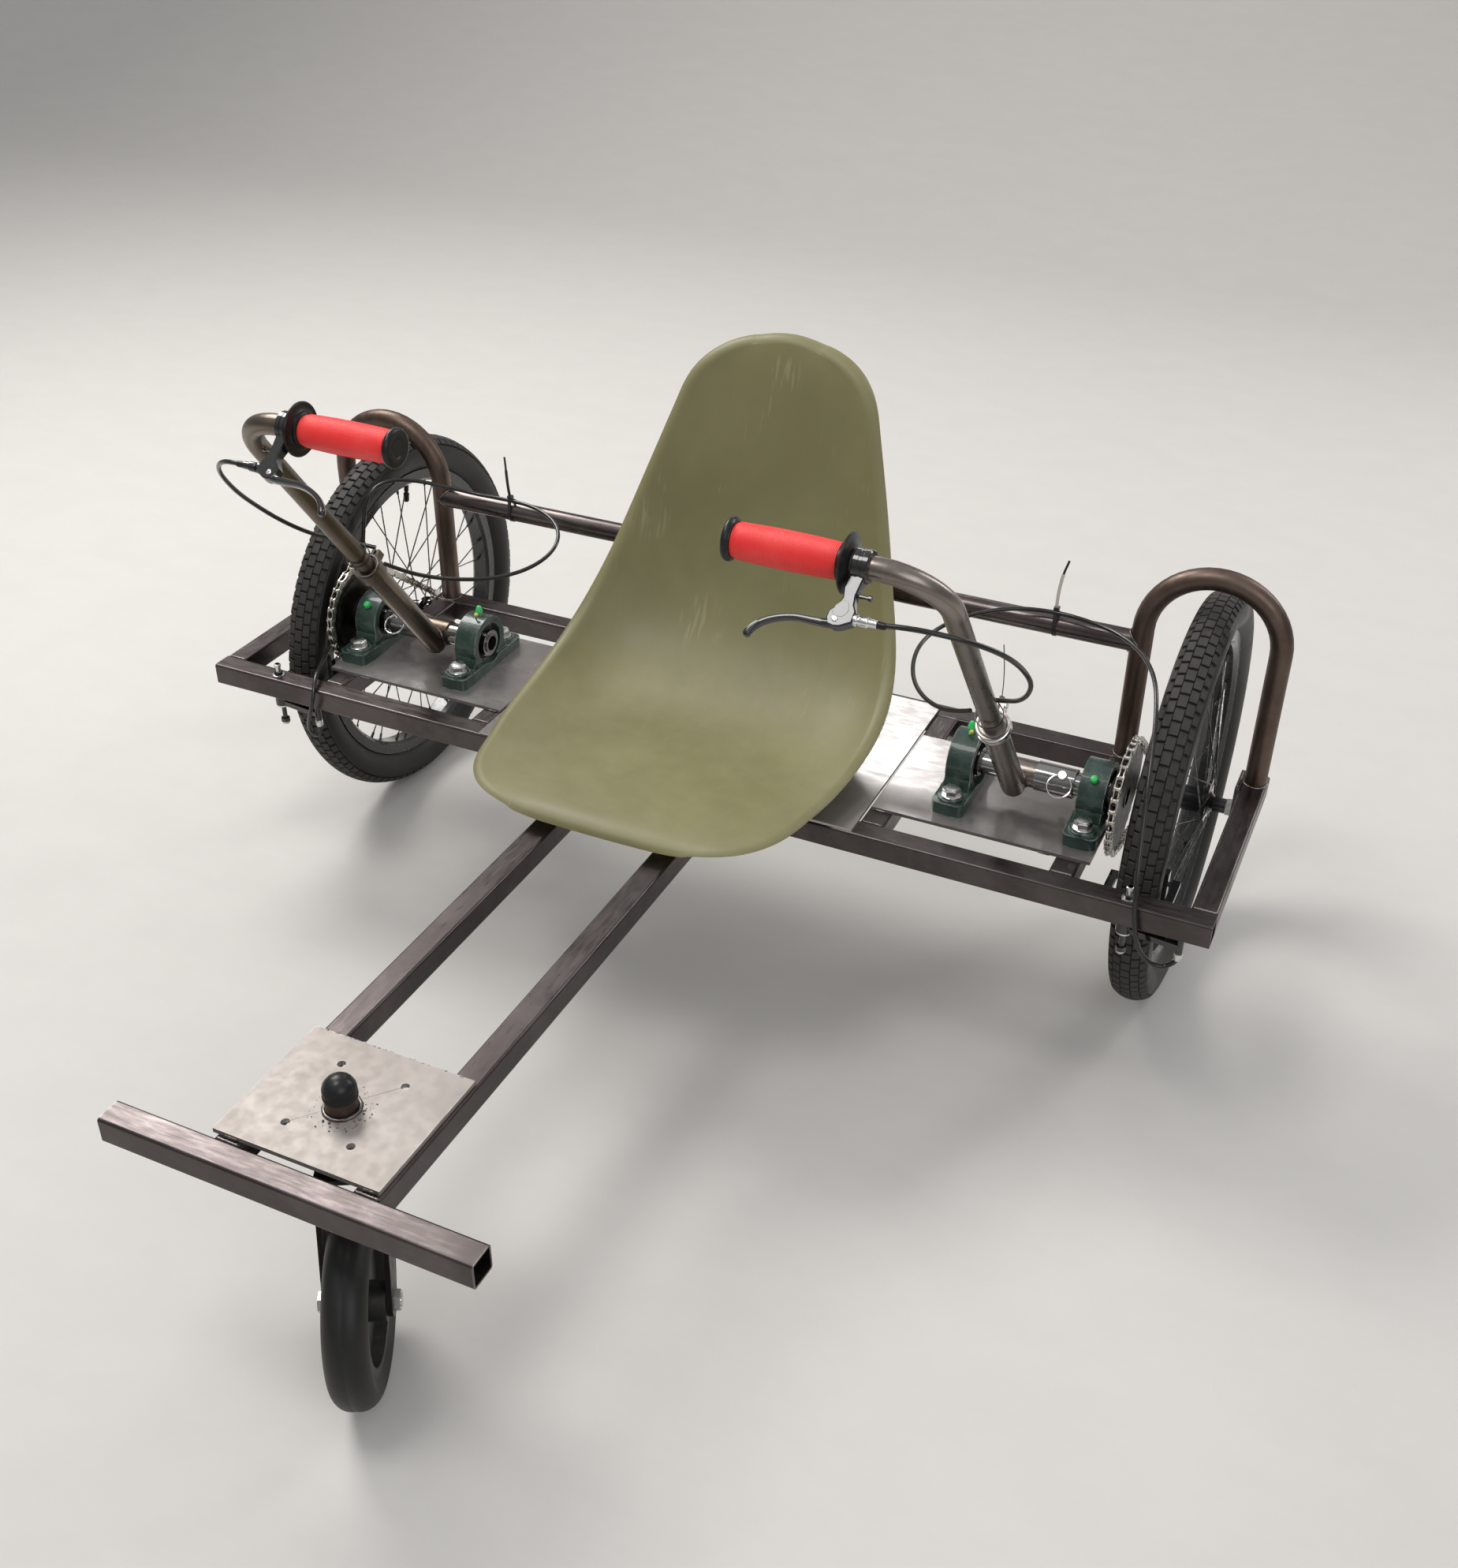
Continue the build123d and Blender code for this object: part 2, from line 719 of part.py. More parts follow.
def make_lever_tube(collar_height):
    y = shaft_y - lever_offset
    foot_z = shaft_z - lever_foot_depth
    top_z = shaft_z + collar_height
    tube = cylinder_up(lever_x, y, foot_z, top_z, lever_tube_radius)
    tube += Pos(lever_x, y, foot_z) * Sphere(lever_tube_radius)
    collar_radius = lever_tube_radius + collar_wall
    tube += cylinder_up(lever_x, y, top_z - collar_length, top_z, collar_radius)
    ears = 2 * collar_ear_thickness + collar_slit
    reach = collar_radius + collar_ear_length
    middle_z = top_z - collar_length / 2
    tube += box_between((lever_x - ears / 2, y, middle_z - collar_ear_width / 2),
                        (lever_x + ears / 2, y + reach, middle_z + collar_ear_width / 2))
    tube -= box_between((lever_x - collar_slit / 2, y, top_z - collar_length),
                        (lever_x + collar_slit / 2, y + reach + overcut, top_z + overcut))
    sleeve_end = lever_sleeve_inner_x + lever_sleeve_length
    tube += cylinder_along_x(lever_sleeve_inner_x, sleeve_end, shaft_y, shaft_z, lever_sleeve_radius)
    tube -= cylinder_up(lever_x, y, shaft_z + lever_bore_start, top_z + overcut, lever_tube_bore)
    bore = shaft_radius + running_clearance
    return tube - cylinder_along_x(lever_sleeve_inner_x - overcut, sleeve_end + overcut, shaft_y, shaft_z, bore)


def make_handle_tube():
    start = upright(lever_x, handle_socket_height, lever_offset)
    corner = upright(lever_x, handle_height, lever_offset)
    end = upright(handle_inner_x, handle_height, lever_offset)
    path = FilletPolyline(start, corner, end, radius=handle_bend_radius)
    foot = Plane(origin=start, z_dir=(0, 0, 1))
    outer = sweep(foot * Circle(handle_radius), path)
    return outer - sweep(foot * Circle(handle_radius - handle_wall), path)


def make_grip():
    bore = handle_radius + running_clearance
    start = grip_inner_x + grip_cap_length
    middle = (start + grip_outer_x) / 2
    edges = [
        Line((start, bore), (grip_outer_x, bore)),
        Line((grip_outer_x, bore), (grip_outer_x, grip_radius)),
        ThreePointArc((grip_outer_x, grip_radius), (middle, grip_radius + grip_belly), (start, grip_radius)),
        Line((start, grip_radius), (start, bore)),
    ]
    return turned(Wire(edges), 0, shaft_y - lever_offset, shaft_z + handle_height)


def make_grip_ends():
    bore = handle_radius + running_clearance
    y = shaft_y - lever_offset
    z = shaft_z + handle_height
    cap_end = grip_inner_x + grip_cap_length
    bevel = grip_end_bevel
    cap = [(grip_inner_x, 0), (grip_inner_x, grip_cap_radius - bevel), (grip_inner_x + bevel, grip_cap_radius),
           (cap_end, grip_cap_radius), (cap_end, bore), (handle_inner_x, bore), (handle_inner_x, 0)]
    flange_end = grip_outer_x + grip_flange_thickness
    flange = [(grip_outer_x, bore), (grip_outer_x, grip_flange_radius - bevel),
              (grip_outer_x + bevel, grip_flange_radius), (flange_end - bevel, grip_flange_radius),
              (flange_end, grip_flange_radius - bevel), (flange_end, bore)]
    return gather([turned_points(cap, 0, y, z), turned_points(flange, 0, y, z)])


# x and offset of the body's corners, from the clamp out to the blade's pivot
brake_body_corners = (
    (305.5, 17.0), (304.0, 42.0), (307.0, 56.0), (297.0, 70.0), (300.0, 80.0), (312.0, 79.0),
    (322.0, 74.0), (322.0, 62.0), (317.0, 50.0), (320.5, 17.0),
)

# x, offset, height of the section and its thickness, from the blade's root to its tip
brake_blade_sections = (
    (306.0, 75.0, 11.0, 8.0),
    (288.0, 77.0, 10.5, 7.0),
    (268.0, 77.5, 10.0, 6.5),
    (252.0, 82.0, 9.5, 6.5),
    (240.0, 89.0, 9.0, 6.5),
    (232.5, 98.0, 8.5, 7.0),
    (230.5, 106.0, 8.0, 7.5),
)


def make_blade():
    """A bar lofted through the blade's sections, each square to the run between its neighbours."""
    middles = [upright(x, handle_height, offset) for x, offset, _, _ in brake_blade_sections]
    before = middles[:1] + middles
    after = middles[1:] + middles[-1:]
    sizes = [row[2:] for row in brake_blade_sections]
    outlines = []
    for middle, start, end, (height, thickness) in zip(middles, before, after, sizes):
        plane = Plane(origin=middle, x_dir=(0, 0, 1), z_dir=end - start)
        outlines.append(plane * RectangleRounded(height, thickness, thickness / 3))
    return loft(outlines, ruled=True)


def make_brake_lever():
    """Clamp, body, blade and cable adjuster as one piece, since the blade has no joint."""
    y = shaft_y - lever_offset
    z = shaft_z + handle_height
    half = brake_clamp_width / 2
    lever = cylinder_along_x(brake_clamp_x - half, brake_clamp_x + half, y, z, brake_clamp_radius)
    corners = [(x, shaft_y - offset) for x, offset in brake_body_corners]
    body = make_face(Polyline(*corners, close=True))
    lever += extrude(level_plane(z - brake_body_thickness / 2) * body, brake_body_thickness)
    lever -= cylinder_along_x(brake_clamp_x - 2 * half, brake_clamp_x + 2 * half, y, z,
                              handle_radius + running_clearance)
    lever += make_blade()
    lever += cylinder_along_x(brake_adjuster_start_x, brake_adjuster_end_x, shaft_y - brake_adjuster_offset, z,
                              brake_adjuster_radius)
    return lever


def make_crank_shaft():
    shaft = cylinder_along_x(shaft_inner_x, shaft_outer_x, shaft_y, shaft_z, shaft_radius)
    bore = shaft_radius - shaft_wall
    shaft -= cylinder_along_x(shaft_inner_x - overcut, shaft_outer_x + overcut, shaft_y, shaft_z, bore)
    hole = coupler_pin_radius + running_clearance
    reach = shaft_radius + overcut
    return shaft - cylinder_up(coupler_pin_x, shaft_y, shaft_z - reach, shaft_z + reach, hole)


def coupler_start():
    return lever_sleeve_inner_x + lever_sleeve_length + coupler_gap


def make_coupler():
    start = coupler_start()
    bore = shaft_radius + running_clearance
    sleeve = cylinder_along_x(start, start + coupler_length, shaft_y, shaft_z, coupler_radius)
    sleeve -= cylinder_along_x(start - overcut, start + coupler_length + overcut, shaft_y, shaft_z, bore)
    reach = coupler_radius + overcut
    hole = coupler_pin_radius + running_clearance
    return sleeve - cylinder_up(coupler_pin_x, shaft_y, shaft_z - reach, shaft_z + reach, hole)


def make_coupler_pin():
    low = shaft_z - coupler_radius - coupler_pin_tail
    high = shaft_z + coupler_radius + coupler_gap
    pin = cylinder_up(coupler_pin_x, shaft_y, low, high, coupler_pin_radius)
    pin += cylinder_up(coupler_pin_x, shaft_y, high, high + coupler_pin_head_height, coupler_pin_head_radius)
    ring_z = high + coupler_pin_head_height / 2
    ring_plane = Plane(origin=(coupler_pin_x, shaft_y - key_ring_radius, ring_z), z_dir=(0, 0, 1))
    return pin + ring_plane * Torus(key_ring_radius, key_ring_wire)


def make_chainwheel():
    disc = toothed_disc(chainwheel_teeth, chain_x, shaft_y, shaft_z)
    face = chain_x - sprocket_thickness / 2
    disc += cylinder_along_x(chainwheel_boss_start, chain_x, shaft_y, shaft_z, chainwheel_boss_radius)
    ring = Circle(chainwheel_ring_outer) - Circle(chainwheel_ring_inner)
    ring_plane = side_plane(face - chainwheel_ring_rise)
    disc += extrude(ring_plane * Pos(shaft_y, shaft_z) * ring, chainwheel_ring_rise)
    bore = shaft_radius + running_clearance
    cut_start = chainwheel_boss_start - overcut
    return disc - cylinder_along_x(cut_start, chain_x + sprocket_thickness, shaft_y, shaft_z, bore)


# Caster

def make_caster_stem():
    stem = cylinder_up(caster_x, stem_y, stem_bottom, stem_top, stem_radius)
    return stem - cylinder_up(caster_x, stem_y, stem_bottom - overcut, stem_top + overcut, stem_bore)


def make_stem_cap():
    skirt = stem_top - cap_skirt
    top = caster_plate_top + cap_height
    shoulder = caster_plate_top + cap_shoulder
    fit = stem_radius + running_clearance
    rise = top - shoulder
    dome_radius = (cap_radius ** 2 + rise ** 2) / (2 * rise)
    half_turn = asin(cap_radius / dome_radius) / 2
    middle = (dome_radius * sin(half_turn), top - dome_radius * (1 - cos(half_turn)))
    dome = ThreePointArc((cap_radius, shoulder), middle, (0, top))
    edges = [
        Line((0, top), (0, stem_top)),
        Line((0, stem_top), (fit, stem_top)),
        Line((fit, stem_top), (fit, skirt)),
        Line((fit, skirt), (cap_radius, skirt)),
        Line((cap_radius, skirt), (cap_radius, shoulder)),
        dome,
    ]
    outline = Plane.XZ * make_face(Wire(edges))
    return Pos(caster_x, stem_y, 0) * revolve(outline, Axis.Z)


def swivelled(piece):
    """Turns a piece modelled with the caster trailing straight along -y about the stem at (0, 0)."""
    return Pos(caster_x, stem_y, 0) * Rot(0, 0, fork_swivel) * piece


def make_caster_fork():
    outer = fork_leg_gap / 2 + fork_thickness
    crown_bottom = fork_crown_top - fork_thickness
    fork = box_between((-outer, -fork_crown_length / 2, crown_bottom),
                       (outer, fork_crown_length / 2, fork_crown_top))
    slope = Polyline((-fork_crown_length / 2, fork_crown_top), (fork_crown_length / 2, fork_crown_top),
                     (-fork_trail + fork_front_slope * fork_foot_radius,
                      caster_radius - fork_front_slope * fork_foot_radius),
                     (-fork_trail - fork_rear_reach * fork_foot_radius,
                      caster_radius + fork_rear_rise * fork_foot_radius), close=True)
    leg = make_face(slope) + Pos(-fork_trail, caster_radius) * Circle(fork_foot_radius)
    leg -= Pos(-fork_trail, caster_radius) * Circle(caster_axle_radius + running_clearance)
    fork += extrude(side_plane(fork_leg_gap / 2) * leg, fork_thickness)
    fork += extrude(side_plane(-outer) * leg, fork_thickness)
    fork += cylinder_up(0, 0, fork_crown_top, fork_crown_top + fork_collar_height, fork_collar_radius)
    fork += cylinder_up(0, 0, fork_crown_top, stem_top - steerer_headroom, steerer_radius)
    return swivelled(fork)


def make_caster_axle():
    outer = fork_leg_gap / 2 + fork_thickness
    end = outer + caster_axle_head
    axle = cylinder_along_x(-end, end, -fork_trail, caster_radius, caster_axle_radius)
    axle += nut_along_x(outer, end - caster_axle_tip, -fork_trail, caster_radius, caster_axle_across)
    axle += nut_along_x(-end + caster_axle_tip, -outer, -fork_trail, caster_radius, caster_axle_across)
    return swivelled(axle)


def make_caster_tyre():
    half = caster_width / 2
    seat = caster_rim_width / 2
    corner = caster_radius - caster_tyre_corner
    shoulder_x = half * caster_tyre_shoulder_share
    shoulder = caster_radius - caster_tyre_corner * caster_tyre_shoulder_drop
    edges = [
        Line((-seat, caster_rim_radius), (seat, caster_rim_radius)),
        Line((seat, caster_rim_radius), (half, corner)),
        ThreePointArc((half, corner), (shoulder_x, shoulder), (0, caster_radius)),
        ThreePointArc((0, caster_radius), (-shoulder_x, shoulder), (-half, corner)),
        Line((-half, corner), (-seat, caster_rim_radius)),
    ]
    return swivelled(turned(Wire(edges), 0, -fork_trail, caster_radius))


def make_caster_hub():
    bore = caster_axle_radius + running_clearance
    end = fork_leg_gap / 2 - caster_hub_gap
    web = caster_web_thickness / 2
    rim = caster_rim_width / 2
    rim_inner = caster_rim_radius - caster_rim_thickness
    outline = [(-end, bore), (end, bore), (end, caster_hub_radius), (web, caster_hub_radius), (web, rim_inner),
               (rim, rim_inner), (rim, caster_rim_radius), (-rim, caster_rim_radius), (-rim, rim_inner),
               (-web, rim_inner), (-web, caster_hub_radius), (-end, caster_hub_radius)]
    return swivelled(turned_points(outline, 0, -fork_trail, caster_radius))


# Seat shell

# Centre line y and z, rim y and z, half width to the rim; z is measured from the shell's base
seat_sections = (
    (-50.0, 4.0, -48.0, 7.0, 92.0),
    (-47.5, 9.0, -44.0, 12.5, 114.0),
    (-41.0, 13.0, -36.0, 17.0, 135.0),
    (-31.0, 15.5, -25.5, 19.0, 154.0),
    (-14.0, 16.0, -9.0, 19.5, 172.0),
    (36.0, 13.0, 32.0, 19.0, 194.0),
    (120.0, 5.0, 112.0, 23.0, 211.0),
    (205.0, 1.0, 190.0, 31.0, 214.0),
    (266.0, 10.0, 240.0, 42.0, 213.0),
    (320.0, 42.0, 284.0, 63.0, 207.0),
    (356.0, 90.0, 322.0, 100.0, 195.0),
    (383.0, 155.0, 350.0, 152.0, 177.0),
    (408.0, 232.0, 384.0, 229.0, 150.0),
    (431.0, 320.0, 417.0, 319.0, 117.0),
    (440.0, 358.0, 431.0, 357.0, 96.0),
    (446.0, 380.0, 440.0, 380.0, 80.0),
    (450.5, 394.0, 448.0, 395.5, 59.0),
    (456.0, 402.0, 455.0, 403.2, 37.0),
    (463.0, 405.0, 463.0, 406.0, 16.0),
)


def seat_shift():
    """How far the shell moves along y so that its back just clears the cross tube."""
    height = cross_tube_height - seat_base
    for (y0, z0, *_), (y1, z1, *_) in zip(seat_sections[2:], seat_sections[3:]):
        if z0 <= height < z1 and y0 > shaft_y:
            back_y = y0 + (height - z0) * (y1 - y0) / (z1 - z0)
    return rear_tube_y - round_tube_radius - seat_back_gap - shell_thickness - back_y


def seat_section(centre_y, centre_z, rim_y, rim_z, half_width):
    """Closed outline across the shell: a shallow floor arc, side arcs up to the rim and a rolled edge."""
    rise_y = rim_y - centre_y
    rise_z = rim_z - centre_z
    rise = hypot(rise_y, rise_z)
    up = (rise_y / rise, rise_z / rise)
    flat = shell_flat_share * half_width
    flat_rise = shell_flat_rise * rise
    floor_radius = (flat ** 2 + flat_rise ** 2) / (2 * flat_rise)
    floor_angle = asin(flat / floor_radius)
    run = half_width - flat
    climb = rise - flat_rise
    side_radius = (run ** 2 + climb ** 2) / (2 * (climb * cos(floor_angle) - run * sin(floor_angle)))
    side_centre = (flat - side_radius * sin(floor_angle), flat_rise + side_radius * cos(floor_angle))
    rim_angle = atan2(half_width - side_centre[0], side_centre[1] - rise)
    roll_centre = (half_width + shell_roll_radius * sin(rim_angle), rise - shell_roll_radius * cos(rim_angle))
    roll_end = rim_angle - radians(shell_roll_angle)

    def on_arc(centre, radius, angle):
        return centre[0] + radius * sin(angle), centre[1] - radius * cos(angle)

    def upper_and_lower(inset):
        floor_centre = (0, floor_radius)
        floor = [on_arc(floor_centre, floor_radius + inset, share * floor_angle) for share in (0, 1)]
        side = [on_arc(side_centre, side_radius + inset, floor_angle + share * (rim_angle - floor_angle))
                for share in (0.5, 1)]
        roll = [on_arc(roll_centre, -(shell_roll_radius - inset), rim_angle + share * (roll_end - rim_angle))
                for share in (0.5, 1)]
        return floor + side + roll

    def place(point, sign=1):
        x, height = point
        return Vector(sign * x, seat_shift() + centre_y + height * up[0], seat_base + centre_z + height * up[1])

    top = upper_and_lower(0)
    under = upper_and_lower(shell_thickness)
    edges = []
    for row in (top, under):
        edges.append(Edge.make_three_point_arc(place(row[1], -1), place(row[0]), place(row[1])))
        for sign in (1, -1):
            for three in (row[1:4], row[3:6]):
                edges.append(Edge.make_three_point_arc(*[place(point, sign) for point in three]))
    for sign in (1, -1):
        edges.append(Edge.make_line(place(top[5], sign), place(under[5], sign)))
    return Wire(edges)


def make_seat_shell():
    return Solid.make_loft([seat_section(*row) for row in reversed(seat_sections)], ruled=True)


def make_seat_spacers(shell):
    low = frame_top + seat_plate_thickness
    spacers = []
    for x in (seat_spacer_x, -seat_spacer_x):
        for y in (seat_spacer_front_y, seat_spacer_front_y + seat_spacer_spacing):
            column = cylinder_up(x, y, low, low + 4 * seat_lift, seat_spacer_radius) - shell
            spacers.append(column.solids().sort_by(Axis.Z)[0])
    return gather(spacers)


# Rim brakes: both have their cable side towards +x

def brake_arm(z0, side):
    pivot = (wheel_x, front_tube_y)
    pad_y = axle_y - brake_pad_radius
    outer = wheel_x + side * brake_arm_offset
    tail_x = wheel_x + brake_tail_length
    path = Polyline(pivot, (outer, front_tube_y + brake_arm_shoulder), (outer, pad_y + brake_pad_depth / 2))
    arm = trace(path, brake_arm_width)
    arm += Pos(*pivot) * Circle(brake_arm_width)
    tail_y = front_tube_y + side * brake_tail_spread
    reach = brake_tail_length if side < 0 else brake_tail_length * brake_short_tail_share
    tail = trace(Line(pivot, (wheel_x + reach, tail_y)), brake_arm_width)
    arm = arm + tail - Pos(*pivot) * Circle(brake_pivot_radius)
    return extrude(level_plane(z0) * arm, brake_arm_thickness)


def brake_pad(side, arm_z):
    inner = wheel_x + side * (rim_width / 2 + brake_pad_gap)
    outer = inner + side * brake_pad_thickness
    y = axle_y - brake_pad_radius
    pad = box_between((min(inner, outer), y - brake_pad_depth / 2, axle_z - brake_pad_length / 2),
                      (max(inner, outer), y + brake_pad_depth / 2, axle_z + brake_pad_length / 2))
    arm_x = wheel_x + side * brake_arm_offset
    low = min(outer, arm_x)
    stud_z = arm_z + brake_arm_thickness / 2
    return pad + cylinder_along_x(low, low + abs(arm_x - outer), y, stud_z, brake_pivot_radius)


def brake_caliper():
    upper_z = frame_bottom - brake_arm_gap - brake_arm_thickness
    lower_z = upper_z - brake_arm_thickness
    caliper = brake_arm(upper_z, 1) + brake_arm(lower_z, -1)
    caliper += [brake_pad(1, upper_z), brake_pad(-1, lower_z)]
    bottom = frame_bottom - brake_bolt_drop
    top = frame_top + brake_bolt_rise
    caliper += cylinder_up(wheel_x, front_tube_y, bottom, top, brake_pivot_radius)
    caliper += nut_up(wheel_x, front_tube_y, frame_top, frame_top + brake_nut_thickness, brake_nut_across)
    nut_z = bottom + brake_lower_nut_rise
    caliper += nut_up(wheel_x, front_tube_y, nut_z, nut_z + brake_nut_thickness, brake_nut_across)
    caliper += cylinder_up(wheel_x + brake_tail_length, front_tube_y - brake_tail_spread,
                           lower_z - brake_adjuster_barrel_drop, upper_z + brake_arm_thickness,
                           brake_adjuster_barrel_radius)
    return caliper


def make_brake_calipers():
    caliper = brake_caliper()
    return gather([caliper, Pos(-2 * wheel_x, 0, 0) * caliper])


# Brake cables: each runs from the lever to a tie on the lever tube, loops to a tie on the cross tube
# and drops in front of the frame to the rim brake

# x, height and offset on the upright lever, from the adjuster to the back of the lever tube
left_lever_cable_points = (
    (343.0, 514.0, 68.0), (368.0, 514.0, 65.0), (395.0, 508.0, 62.0), (419.0, 494.0, 57.5),
    (439.0, 470.0, 51.5), (451.0, 437.0, 45.0), (455.0, 395.0, 39.0), (450.5, 352.0, 31.0),
    (439.0, 306.0, 24.0), (422.0, 262.0, 15.0), (403.0, 228.0, 5.0), (384.0, 208.0, 0.0),
    (365.0, 196.0, -1.5),
)

right_lever_cable_points = (
    (343.0, 514.0, 68.0), (357.0, 513.5, 67.5), (373.0, 508.0, 66.0), (389.0, 495.0, 64.0),
    (405.0, 472.0, 61.0), (419.0, 443.0, 56.0), (434.0, 398.0, 48.0), (442.0, 350.0, 38.0),
    (443.0, 302.0, 28.0), (434.0, 262.0, 18.0), (418.0, 237.0, 8.0), (398.0, 223.0, 1.0),
    (374.0, 216.0, -2.0),
)

# x, y and z from beside the lever tube to the brake
left_cable_points = (
    (362.0, 107.0, 474.0), (345.0, 117.0, 463.0), (320.0, 134.0, 452.0), (294.0, 158.0, 446.0),
    (271.0, 190.0, 445.0), (256.0, 230.0, 447.0), (251.0, 272.0, 449.0), (260.0, 314.0, 451.0),
    (286.0, 350.0, 456.0), (327.0, 378.0, 460.0), (374.0, 388.0, 460.0), (418.0, 379.0, 461.0),
    (458.0, 357.0, 464.0), (493.0, 318.0, 466.0), (517.0, 271.0, 464.0), (530.0, 228.0, 450.0),
    (539.0, 186.0, 425.0), (546.0, 150.0, 394.0), (553.0, 118.0, 355.0), (559.0, 94.0, 315.0),
    (564.0, 88.0, 278.0), (571.0, 90.0, 246.0), (585.0, 96.0, 226.0), (604.0, 102.0, 222.0),
    (612.0, 104.0, 235.0),
)

right_cable_points = (
    (-365.0, 112.0, 486.0), (-354.0, 132.0, 470.0), (-339.0, 160.0, 453.0), (-319.0, 195.0, 438.0),
    (-295.0, 232.0, 428.0), (-271.0, 268.0, 428.0), (-257.0, 303.0, 435.0), (-257.0, 333.0, 446.0),
    (-277.0, 360.0, 455.0), (-317.0, 381.0, 459.0), (-362.0, 389.0, 458.0), (-408.0, 384.0, 459.0),
    (-448.0, 369.0, 469.0), (-479.0, 343.0, 482.0), (-498.0, 314.0, 490.0), (-509.0, 289.0, 484.0),
    (-514.0, 278.0, 462.0), (-517.0, 275.0, 434.0), (-519.0, 270.0, 404.0), (-519.5, 258.0, 374.0),
    (-519.0, 236.0, 344.0), (-518.5, 204.0, 319.0), (-517.0, 172.0, 306.0), (-506.0, 140.0, 302.0),
    (-491.0, 109.0, 303.0), (-480.0, 87.0, 287.0), (-487.0, 86.0, 264.0), (-498.0, 92.0, 243.0),
    (-503.0, 99.0, 224.0), (-490.0, 104.0, 218.0), (-490.0, 104.0, 235.0),
)


def cable(name, points):
    corners = [Vector(*point) for point in points]
    radii = []
    for before, here, after in zip(corners, corners[1:], corners[2:]):
        turn = radians((here - before).get_angle(after - here))
        shorter = min((here - before).length, (after - here).length)
        radii.append(cable_bend_share * shorter / tan(turn / 2))
    path = FilletPolyline(*corners, radius=radii)
    section = Plane(origin=corners[0], z_dir=corners[1] - corners[0]) * Circle(cable_radius)
    tube = sweep(section, path)
    print(name, "radii", [round(radius) for radius in radii])
    print(name, "volume over section times length", tube.volume / (pi * cable_radius ** 2 * path.length))
    return tube


def make_frame_cables():
    left = cable("left frame cable", left_cable_points)
    return gather([left, cable("right frame cable", right_cable_points)])


def make_lever_cable(side, points):
    return cable(f"{side} lever cable", [upright(*point) for point in points])


# Side name, side sign, forward tilt of the lever in degrees, height of its clamp collar, its cable
lever_sides = (
    ("left", 1, 39.4, 184.0, left_lever_cable_points),
    ("right", -1, 36.9, 200.0, right_lever_cable_points),
)


def make_parts():
    shell = make_seat_shell()
    chain = make_chain()
    parts = {
        "front_tube": make_front_tube(),
        "rear_tube": make_rear_tube(),
        "side_tubes": make_side_tubes(),
        "longitudinals": make_longitudinals(),
        "seat_bearers": make_seat_bearers(),
        "rails": make_rails(),
        "foot_bar": make_foot_bar(),
        "seat_plate": make_seat_plate(),
        "bearing_plates": make_bearing_plates(),
        "caster_plate": make_caster_plate(),
        "caster_stem": make_caster_stem(),
        "stem_cap": make_stem_cap(),
        "hoops": make_hoops(),
        "cross_tube": make_cross_tube(),
        "axle_brackets": make_axle_brackets(),
        "wheel_axles": make_wheel_axles(),
        "pillow_blocks": make_pillow_blocks(),
        "bearing_inserts": make_bearing_inserts(),
        "chains": both_sides(chain),
        "brake_calipers": make_brake_calipers(),
        "frame_cables": make_frame_cables(),
        "seat_shell": shell,
        "seat_spacers": make_seat_spacers(shell),
        "caster_fork": make_caster_fork(),
        "caster_axle": make_caster_axle(),
        "caster_tyre": make_caster_tyre(),
        "caster_hub": make_caster_hub(),
    }
    wheel_pieces = {"tyre": make_tyre(), "rim": make_rim(), "spokes": make_spokes(), "hub": make_hub()}
    lever_pieces = {
        "handle_tube": make_handle_tube(),
        "grip": make_grip(),
        "grip_ends": make_grip_ends(),
        "brake_lever": make_brake_lever(),
        "crank_shaft": make_crank_shaft(),
        "chainwheel": make_chainwheel(),
        "coupler": make_coupler(),
        "coupler_pin": make_coupler_pin(),
    }
    for side, sign, tilt, collar_height, cable_points in lever_sides:
        for name, piece in wheel_pieces.items():
            parts[f"{side}_{name}"] = on_side(piece, sign)
        parts[f"{side}_lever_tube"] = on_side(tilted(make_lever_tube(collar_height), tilt), sign)
        parts[f"{side}_lever_cable"] = on_side(tilted(make_lever_cable(side, cable_points), tilt), sign)
        for name, piece in lever_pieces.items():
            parts[f"{side}_{name}"] = on_side(tilted(piece, tilt), sign)
    return parts


os.makedirs("parts", exist_ok=True)
for node, piece in make_parts().items():
    export_step(piece, f"parts/{node}.step")
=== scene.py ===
import random
from math import acos, asin, atan2, cos, degrees, hypot, pi, radians, sin, sqrt

import bmesh
import bpy
from mathutils import Matrix, Vector


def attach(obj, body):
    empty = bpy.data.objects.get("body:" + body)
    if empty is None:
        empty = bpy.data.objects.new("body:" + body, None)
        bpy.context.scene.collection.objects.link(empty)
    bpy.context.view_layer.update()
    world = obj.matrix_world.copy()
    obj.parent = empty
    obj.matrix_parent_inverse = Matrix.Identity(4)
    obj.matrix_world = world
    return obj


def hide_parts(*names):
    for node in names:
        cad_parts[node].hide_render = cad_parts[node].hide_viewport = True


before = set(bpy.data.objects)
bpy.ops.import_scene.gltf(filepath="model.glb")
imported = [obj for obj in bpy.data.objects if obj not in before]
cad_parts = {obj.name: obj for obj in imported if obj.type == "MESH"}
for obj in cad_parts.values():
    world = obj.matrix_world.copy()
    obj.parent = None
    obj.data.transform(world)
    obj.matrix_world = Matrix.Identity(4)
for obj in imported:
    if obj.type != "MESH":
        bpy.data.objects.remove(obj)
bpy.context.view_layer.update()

print("frame loaded:", len(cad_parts), "nodes")
mm = 0.001
sideways, upward = (1, 0, 0), (0, 0, 1)
random.seed(7)

